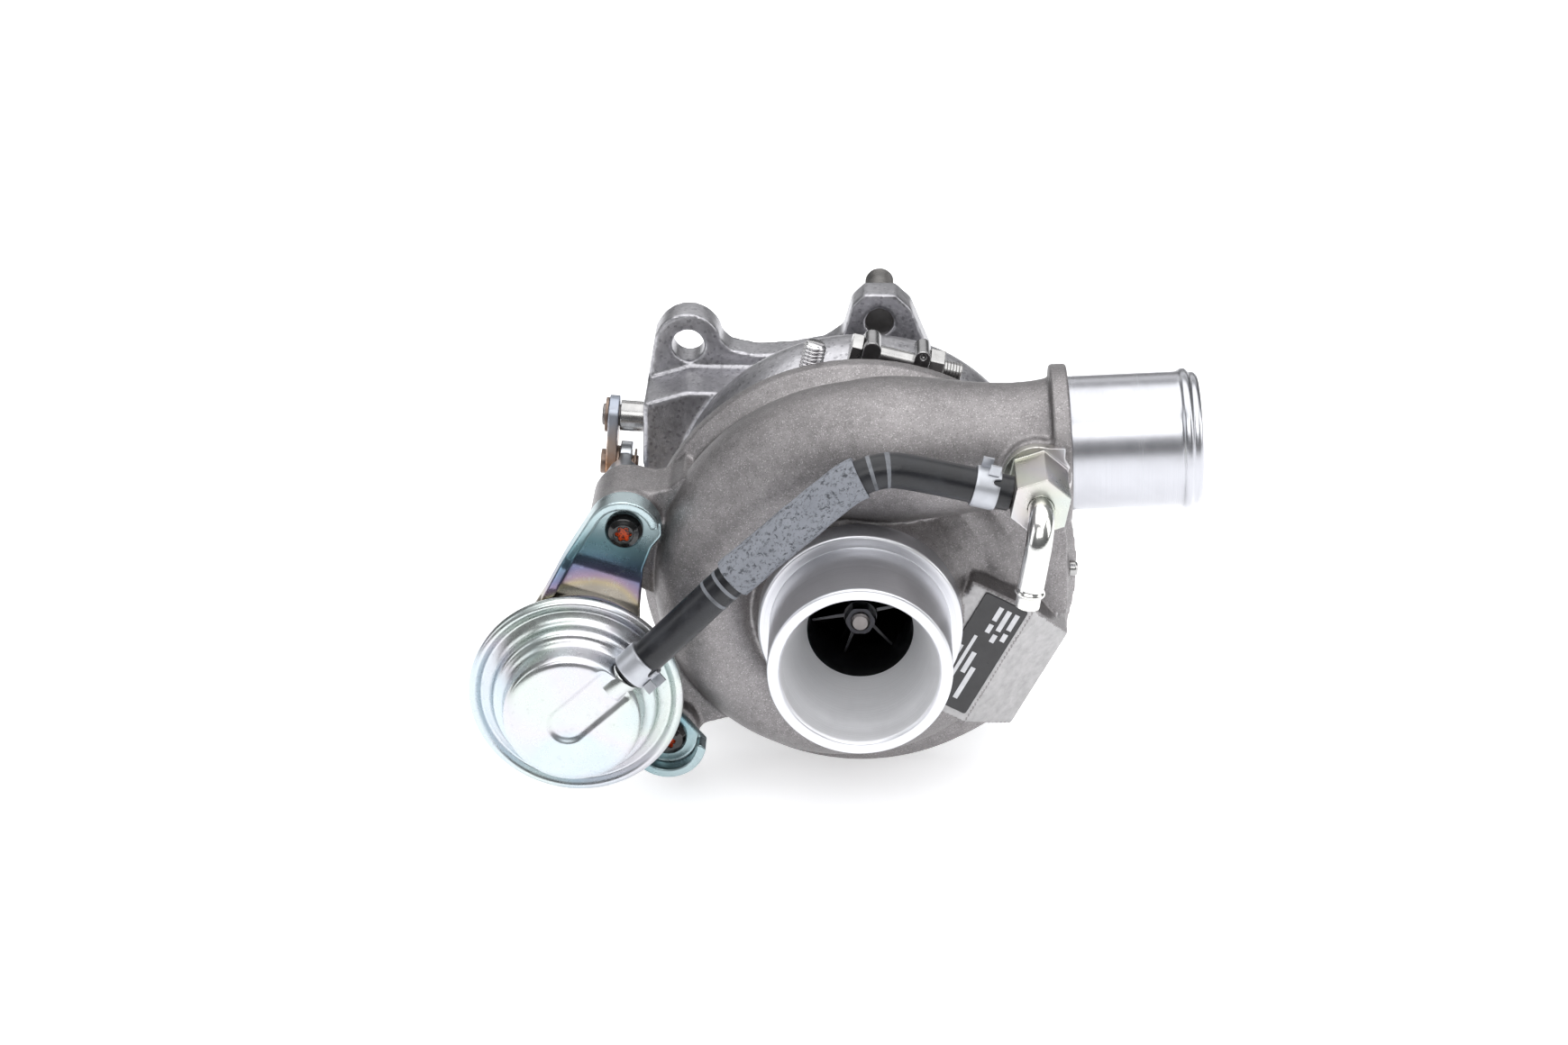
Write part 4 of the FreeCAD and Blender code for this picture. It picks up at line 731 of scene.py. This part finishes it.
face_n = (e2 * 12.0 * 0 + e2 * 0.64 + np.array((0, -0.768, 0)))
paint_faces(casting, (q @ face_n > 0.95) & (ca > 0.6) & (ca < 15.5) & (cb > -1) & (cb < 38) & (c[:, 1] < 46), 1)

spig = rounded([(20.2, 0.0, 0.25), (22.6, 0.0, 0.3), (23.0, 0.5, 0.3), (23.0, 23.6, 0.15), (25.5, 23.6, 0.3), (26.0, 24.2, 0.3), (26.0, 31.0, 0.0),
                (24.0, 31.0, 0.0), (16.0, 50.0, 0.0), (14.6, 48.0, 0.0), (12.9, 37.0, 1.5), (12.9, 25.6, 1.5), (14.6, 19.5, 1.0), (16.6, 12.5, 1.0), (18.9, 4.6, 1.0), (19.7, 0.7, 0.3),
                (20.2, 0.0, 0.25)], 0.3, 4)
spigot = lathe("inlet_spigot_turned", spig, (0, 0, 0), (0, 1, 0), TURN_Z, 192, rep=["compressor_inlet_spigot"], fine=0.6)
spigot.data.materials.append(BOWL)
spigot.data.materials.append(THROAT_PAINTED_SHADE)
c, q = centres(spigot.data)
# the mesh is in its own space with z along the axis
cl = np.empty(len(spigot.data.polygons) * 3)
spigot.data.polygons.foreach_get("center", cl)
cl = cl.reshape(-1, 3) * 1000
rr_ = np.hypot(cl[:, 0], cl[:, 1])
paint_faces(spigot, (rr_ < 20.0) & (cl[:, 2] > 0.6) & (cl[:, 2] < 23.5), 1)
# slot 2: the throat faces, near-black painted shade
paint_faces(spigot, (rr_ < 16.5) & (cl[:, 2] >= 23.5), 2)
collar = lathe("outlet_collar_ring", rounded([(17.6, 0.4), (19.7, 0.0, 0.5), (20.1, 0.6, 0.5), (20.1, 3.9, 0.5), (19.7, 4.4, 0.5), (16.95, 4.42, 0), (16.95, 0.4, 0), (17.6, 0.4)], 0.4, 4),
               tuple(ddc + dd * 47.6), tuple(dd), CAST, 144)
pipe = lathe("outlet_pipe_turned", rounded([(14.6, 47.7, 0), (15.9, 47.7, 0), (15.9, 52.0, 0), (16.9, 52.05, 0.2), (16.9, 79.4, 0.6), (17.65, 80.4, 0.5), (17.65, 81.6, 0.5), (16.65, 82.5, 0.3),
                                            (16.65, 83.6, 0.3), (15.95, 84.5, 0.3), (15.1, 84.5, 0.3), (14.6, 83.9, 0.3), (14.6, 47.7, 0)], 0.3, 4),
             tuple(ddc), tuple(dd), TURN_PIPE, 160, rep=["outlet_pipe"], fine=0.8)

# identification plate: black, with plain blocks where the print was
plate = soften("identification_plate", "plate_black_skin", 0.13, 2, PLATE)
pc0 = Vector(PB) + Vector(e2) * -12.6 + Vector((0, -0.55, 0)) + Vector(e1) * 0.2


def bar(name, a0, a1, b0, b1):
    V3 = [pc0 + Vector(e2) * a + Vector(e1) * b for a, b in ((a0, b0), (a1, b0), (a1, b1), (a0, b1))]
    top = [P(*(v + Vector((0, -0.07, 0)))) for v in V3]
    bot = [P(*(v + Vector((0, 0.05, 0)))) for v in V3]
    faces = [(0, 1, 2, 3), (7, 6, 5, 4), (0, 4, 5, 1), (1, 5, 6, 2), (2, 6, 7, 3), (3, 7, 4, 0)]
    o = mesh_obj(name, top + bot, faces, PRINT, smooth=False)
    bm = bmesh.new()
    bm.from_mesh(o.data)
    bmesh.ops.recalc_face_normals(bm, faces=bm.faces)
    bm.to_mesh(o.data)
    bm.free()
    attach(o, ROOT)
    return o


k = 0
for a0, a1, runs in ((9.6, 10.9, ((2.0, 7.0), (8.2, 10.6))), (7.3, 8.6, ((2.0, 8.4), (9.6, 12.0))), (5.0, 6.3, ((2.0, 6.2), (7.4, 10.0), (16.5, 23.0))),
                     (3.2, 4.1, ((12.0, 25.0),)), (1.2, 2.2, ((16.0, 30.5),)), (6.9, 8.2, ((20.5, 30.5),))):
    for b0, b1 in runs:
        k += 1
        bar("plate_block_%02d" % k, a0, a1, b0, b1)

plug = soften("plug_screw", "plug_screw_skin", 0.09, 3, STEEL)

# ---------------------------------------------------------- turbine housing
turb = soften(("turbine_housing", "turbine_outlet_plate", "turbine_inlet_foot"), "turbine_casting", 0.7, 7, [IRON, STEEL_D])
bearing = soften("bearing_housing", "bearing_casting", 0.55, 5, IRON)

# outlet studs, oil stud
for i, (x, z) in enumerate(((4.4, 46.8), (-6.0, -38.0))):
    lathe("outlet_stud_foot_%d" % (i + 1), [(0, 117.6), (3.79, 117.6), (3.79, 126.7), (0, 126.7)], (x, 0, z), (0, 1, 0), STEEL_D, 48)
    st = threaded("outlet_stud_%d" % (i + 1), (x, 126.6, z), (0, 1, 0), 22.4, 4.0, 1.25, STEEL_D)
    if i == 0:
        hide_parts("outlet_studs")
SB, sd = Vector((-16.1, 68.75, 41.75)), Vector((0.21, 0, 0.978)).normalized()
threaded("oil_stud_thread", tuple(SB - sd * 2.0), tuple(sd), 20.5, 3.0, 1.0, ZINC_STUD, rep=["oil_feed_stud"])

# V-band clamp
band = soften("v_band_clamp", "v_band_skin", 0.3, 4, STAINLESS)
ta = math.radians(13.5)
tdir = Vector((math.cos(ta), 0, -math.sin(ta)))
BC = Vector((8.6, 76.2, 52.6))
h0 = BC - tdir * 12.3
bolt = soften("v_band_bolt", "v_band_bolt_skin", 0.16, 3, STEEL)
threaded("v_band_bolt_tip", tuple(BC + tdir * 10.0), tuple(tdir), 7.5, 2.56, 0.8, STEEL_D, chamfer=0.6)
vnut = soften("v_band_nut", "v_band_nut_skin", 0.16, 3, STEEL)

# --------------------------------------------------------------- actuator
ax_, az_ = -71.7, -14.9
ND = math.radians(43.0)


def cap_emboss(x, z):
    """Depth in mm of the shallow pressed channel on the cap face."""
    ux, uz = math.cos(ND), math.sin(ND)
    px, pz = x + 1.0, z + 1.0
    t = max(0.0, min(18.0, px * ux + pz * uz))
    d = math.hypot(px - ux * t, pz - uz * t)
    s = max(0.0, min(1.0, (5.6 - d) / 2.0))
    ring = math.exp(-((d - 5.4) / 0.5) ** 2) * 0.06
    return 0.75 * s * s * (3 - 2 * s) - ring


def cap_piece():
    out = [(0, .3), (15.4, .3, 0.9), (16.8, .9, 0.9), (17.3, 2.2, 1.2), (17.8, 7.2, 1.2), (18.8, 8.4, 0.8), (20.1, 8.9, 0.8), (20.7, 10.0, 0.8), (20.95, 12.2, 1.2), (21.9, 13.3, 0.8),
           (24.0, 14.3, 0.8), (24.9, 13.4, 0.6), (26.0, 12.95, 0.9), (27.1, 13.7, 0.8), (27.3, 15.0, 0.8), (27.0, 16.2, 0.4), (26.25, 16.6, 0.2), (26.1, 15.4, 0), (24.2, 15.4, 0), (21.2, 14.3, 0),
           (19.9, 13.0, 0), (19.6, 10.4, 0), (18.9, 9.8, 0), (17.8, 9.2, 0), (16.9, 8.0, 0), (16.2, 2.6, 0), (15.2, 1.5, 0), (0, 1.5)]
    pr = rounded(out, 0.5, 5)
    fine = []
    for i in range(len(pr) - 1):
        p, q = pr[i], pr[i + 1]
        flat = p[0] < 15.6 and q[0] < 15.6 and p[1] < 1.2
        m = max(1, int(math.hypot(q[0] - p[0], q[1] - p[1]) / (0.3 if flat else 0.9)))
        fine += [(p[0] + (q[0] - p[0]) * j / m, p[1] + (q[1] - p[1]) * j / m) for j in range(m)]
    fine.append(pr[-1])
    seg = 216
    verts, faces = [], []
    idx = []
    for r, y in fine:
        if r < 1e-6:
            verts.append(P(ax_, y + (cap_emboss(0, 0) if y < 1.0 else 0), az_))
            idx.append([len(verts) - 1] * seg)
            continue
        row = []
        for k in range(seg):
            t = 2 * math.pi * k / seg
            x, z = r * math.cos(t), r * math.sin(t)
            e = cap_emboss(x, z) * max(0.0, min(1.0, (16.6 - r) / 1.2)) if y < 1.2 and r < 16.6 else 0.0
            verts.append(P(ax_ + x, y + e, az_ + z))
            row.append(len(verts) - 1)
        idx.append(row)
    for i in range(len(idx) - 1):
        for k in range(seg):
            k2 = (k + 1) % seg
            f = [idx[i][k], idx[i][k2], idx[i + 1][k2], idx[i + 1][k]]
            g = []
            for v in f:
                if v not in g:
                    g.append(v)
            if len(g) > 2:
                faces.append(g)
    ob = mesh_obj("actuator_cap", verts, faces, [ZINC_CAN], origin=P(ax_, 0, az_))
    bm = bmesh.new()
    bm.from_mesh(ob.data)
    bmesh.ops.recalc_face_normals(bm, faces=bm.faces)
    bm.to_mesh(ob.data)
    bm.free()
    ob.data.polygons.foreach_set("use_smooth", [True] * len(ob.data.polygons))
    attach(ob, ROOT)
    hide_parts("actuator_cover")
    return ob


cap = cap_piece()
NC = H[0] - hd0 * 4.6
lathe("actuator_nipple", rounded([(1.7, -1.5), (3.9, -1.5), (3.9, 3.9, 0.4), (2.85, 4.3, 0.2), (2.8, 12.0), (3.05, 12.2), (2.8, 13.9), (1.7, 13.9), (1.7, -1.5)], 0.2, 3), tuple(NC), tuple(hd0), ZINC_CAN, 64)
CB = 32.5
lathe("actuator_can_back", rounded([(3.7, CB), (18.6, CB, 1.5), (21.2, CB - 2.8, 2.0), (21.5, 20.2, 1.5), (22.4, 18.9, 0.8), (25.9, 18.2, 0.4), (26.2, 17.4, 0.2), (25.0, 17.35, 0), (21.2, 18.1, 0),
                                    (20.3, 19.4, 0), (19.9, CB - 3.2, 0), (18.0, CB - 1.3, 0), (3.7, CB - 1.3), (3.7, CB)], 0.5, 5),
      (ax_, 0, az_), (0, 1, 0), ZINC_CAN, 192, rep=["actuator_base"])
brk = soften("actuator_bracket", "bracket_pressed", 0.24, 16, [ZINC_BR_TINT_AND_SHADE])

# bracket screws: domed heads with a six-lobe recess and a dab of paint
scr = soften("bracket_screws", "bracket_screw_heads", 0.13, 4, [BLACK, ORANGE])
c, q = centres(scr.data)
for (x, z), yb in (((-60.4, 20.7), 37.5), ((-50.1, -39.3), 37.5)):
    r = np.hypot(c[:, 0] - x, c[:, 2] - z)
    paint_faces(scr, (r < 2.45) & (c[:, 1] < yb - 1.0) & (c[:, 1] > yb - 2.75), 1)

# ------------------------------------------------------------- wastegate
lev = soften("wastegate_lever", "lever_plate", 0.22, 3, LEVER_M, WG)
soften("lever_pin", "lever_pin_head", 0.14, 3, WASHER_M, WG)
soften("pin_washer", "lever_washer", 0.12, 2, WASHER_M, WG)
soften("pin_clip", "lever_clip", 0.09, 2, WASHER_M, WG)
soften("spindle_clip", "lever_spindle_clip", 0.12, 2, WASHER_M, WG)
soften("wastegate_bushing", "spindle_bushing", 0.2, 3, STEEL, ROOT)
soften("wastegate_arm", "flap_arm", 0.3, 4, HOT, WG)
soften("rod_end", "rod_end_eye", 0.22, 3, ZINC_ROD, ROD)
soften("rod_lock_nut", "rod_nut", 0.2, 3, ZINC_ROD, ROD)

# --------------------------------------------------- union, pipe and clips
un = soften("pressure_union", "union_body", 0.2, 4, [ZINC_UN, STEEL_D])
sp = soften("signal_pipe", "signal_pipe_skin", 0.18, 6, ZINC_PIPE)


def clip_piece(name, node, c, d, up, hr=4.4):
    """Flat spring band: 6 mm wide, half-round notches, two folded ears."""
    d, up = Vector(d).normalized(), Vector(up)
    up = (up - d * up.dot(d)).normalized()
    w = d.cross(up)
    c = Vector(c)
    seg, W = 120, 3.0
    verts, faces = [], []
    ro, ri = hr + 0.72, hr + 0.04
    n = 12

    def half(t):
        # notch: the band is cut in from one edge beside the ears
        a = math.degrees(t)
        for a0, wd, dp in ((-34, 13, 2.2), (40, 11, 1.9)):
            x = (a - a0) / wd
            if abs(x) < 1:
                return W - dp * math.sqrt(1 - x * x)
        return W
    for k in range(seg):
        t = -math.pi + 2 * math.pi * k / seg
        e = half(t)
        for j in range(n + 1):
            s = -W + (W + e) * j / n
            edge = min(1.0, (s + W) / 0.25, (e - s) / 0.25)
            r = ro - 0.12 * (1 - max(0.0, edge)) ** 2
            dirv = up * math.cos(t) + w * math.sin(t)
            verts.append(P(*(c + dirv * r + d * s)))
        for j in range(n + 1):
            s = -W + (W + e) * j / n
            dirv = up * math.cos(t) + w * math.sin(t)
            verts.append(P(*(c + dirv * ri + d * s)))
    m = 2 * (n + 1)
    for k in range(seg):
        k2 = (k + 1) % seg
        for j in range(n):
            faces.append((k * m + j, k2 * m + j, k2 * m + j + 1, k * m + j + 1))
            faces.append((k * m + n + 1 + j, k * m + n + 2 + j, k2 * m + n + 2 + j, k2 * m + n + 1 + j))
        faces.append((k * m, k * m + n + 1, k2 * m + n + 1, k2 * m))
        faces.append((k * m + n, k2 * m + n, k2 * m + 2 * n + 1, k * m + 2 * n + 1))
    # ears: small folded tabs standing off the band
    for sg, off in ((-1, -1.7), (1, 1.7)):
        b = len(verts)
        for (a, s, h) in [(a, s, h) for h in (ro - hr - 0.2, 3.0) for a in (off - 0.38, off + 0.38) for s in (-W * 0.45 + 0.9 * sg, W * 0.45 + 0.9 * sg)]:
            verts.append(P(*(c + up * (hr + h) + w * a + d * s)))
        faces += [tuple(b + i for i in f) for f in ((0, 1, 3, 2), (4, 6, 7, 5), (0, 4, 5, 1), (2, 3, 7, 6), (0, 2, 6, 4), (1, 5, 7, 3))]
    ob = mesh_obj(name, verts, faces, CLIP)
    bm = bmesh.new()
    bm.from_mesh(ob.data)
    bmesh.ops.recalc_face_normals(bm, faces=bm.faces)
    bm.to_mesh(ob.data)
    bm.free()
    ob.data.polygons.foreach_set("use_smooth", [True] * len(ob.data.polygons))
    ob.data.set_sharp_from_angle(angle=math.radians(40))
    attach(ob, ROOT)
    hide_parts(node)
    return ob


clip_piece("clip_at_actuator", "hose_clip_actuator", H[0] + hd0 * 3.7, hd0, (0.75, -0.35, -0.65))
clip_piece("clip_at_union", "hose_clip_union", H[-1] - hde * 6.4, hde, (0, -0.1, 1))

# ---------------------------------------------- materials on kept CAD nodes
KEEP = {"compressor_wheel": WHEEL_PAINTED_SHADE, "shaft_nut": STEEL_PAINTED_SHADE, "turbine_wheel_shaft": HOT, "thrust_collar": STEEL_PAINTED_SHADE, "compressor_backplate": CAST,
        "backplate_o_ring": ORING, "compressor_retaining_ring": STEEL_D, "bearing_circlips": STEEL_D, "thrust_bearing": BRONZE,
        "compressor_seal_ring": STEEL, "turbine_seal_ring": STEEL_D, "heat_shield": HOT, "actuator_diaphragm": ORING, "actuator_spring": STEEL,
        "rod_guide": BRONZE, "actuator_rod": ZINC_STUD, "actuator_piston": ZINC_CAN, "journal_bearing_compressor": BRONZE, "journal_bearing_turbine": BRONZE,
        "wastegate_flap": HOT, "flap_washer": HOT}
for name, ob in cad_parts.items():
    m = KEEP.get(name)
    if m is None:
        continue
    if not ob.material_slots:
        ob.data.materials.append(m)
    for s in ob.material_slots:
        s.material = m

# ------------------------------------------------------------- the studio
def floor_mat():
    n = N("studio_floor")
    f = n.ramp(n.noise(7.0, 6.0, 0.7, n.mapped((1, 14, 1), rot=(0, 0, 0.6)), 1.2), [(0.58, 0.0), (0.66, 1.0)])
    n.col(n.mix(n.math("MULTIPLY", f, 0.06), (0.93, 0.935, 0.95), (0.80, 0.81, 0.84)))
    n.set(metal=0.0, rough=0.55, spec=0.25)
    n.b.inputs["Emission Color"].default_value = (1, 1, 1, 1)
    n.b.inputs["Emission Strength"].default_value = 0.52
    return n.m


zf = min(0.0, cad_box[0][2]) - 0.0002 if len(cad_box) == 2 else -0.0002
fl = mesh_obj("studio_floor_plane", [(-6, -6, zf), (6, -6, zf), (6, 6, zf), (-6, 6, zf)], [(0, 1, 2, 3)], floor_mat(), smooth=False)

world = bpy.data.worlds.new("studio") if not bpy.context.scene.world else bpy.context.scene.world
bpy.context.scene.world = world
world.use_nodes = True
wt = world.node_tree
bg = wt.nodes["Background"]
wg = wt.nodes.new("ShaderNodeTexCoord")
wx = wt.nodes.new("ShaderNodeSeparateXYZ")
wr = wt.nodes.new("ShaderNodeValToRGB")
wt.links.new(wg.outputs["Generated"], wx.inputs[0])
wt.links.new(wx.outputs[2], wr.inputs["Fac"])
for k_, (p_, v_) in enumerate(((0.0, 0.12), (0.22, 0.20), (0.5, 0.34), (0.8, 0.48))):
    if k_ > 1:
        wr.color_ramp.elements.new(0.5)
for k_, (p_, v_) in enumerate(((0.0, 0.12), (0.22, 0.20), (0.5, 0.34), (0.8, 0.48))):
    wr.color_ramp.elements[k_].position = p_
    wr.color_ramp.elements[k_].color = (v_ * 0.97, v_ * 0.98, v_, 1)
wt.links.new(wr.outputs["Color"], bg.inputs[0])
bg.inputs[1].default_value = 0.8


def area(name, loc, aim, sx, sy, power, color=(1, 1, 1)):
    l = bpy.data.lights.new(name, "AREA")
    l.shape, l.size, l.size_y, l.energy, l.color = "RECTANGLE", sx, sy, power, color
    o = link(bpy.data.objects.new(name, l))
    o.location = loc
    o.rotation_euler = (Vector(aim) - Vector(loc)).to_track_quat("-Z", "Y").to_euler()
    return o


mid = (0.0, -0.06, 0.05)
area("key_top", (0.05, 0.05, 1.25), mid, 2.0, 1.5, 17.0)
area("left_box", (-1.30, -0.35, 0.55), mid, 0.6, 0.9, 2.5, (0.97, 0.98, 1.0))
area("right_box", (1.25, -0.20, 0.65), mid, 0.6, 0.9, 4.0)
area("front_high", (-0.10, -1.25, 1.20), mid, 1.5, 0.7, 9.0)
area("back_rim", (0.1, 1.35, 0.75), mid, 1.9, 0.45, 2.4)

try:
    bpy.context.scene.view_settings.view_transform = "Standard"
    bpy.context.scene.view_settings.look = "None"
except Exception:
    pass

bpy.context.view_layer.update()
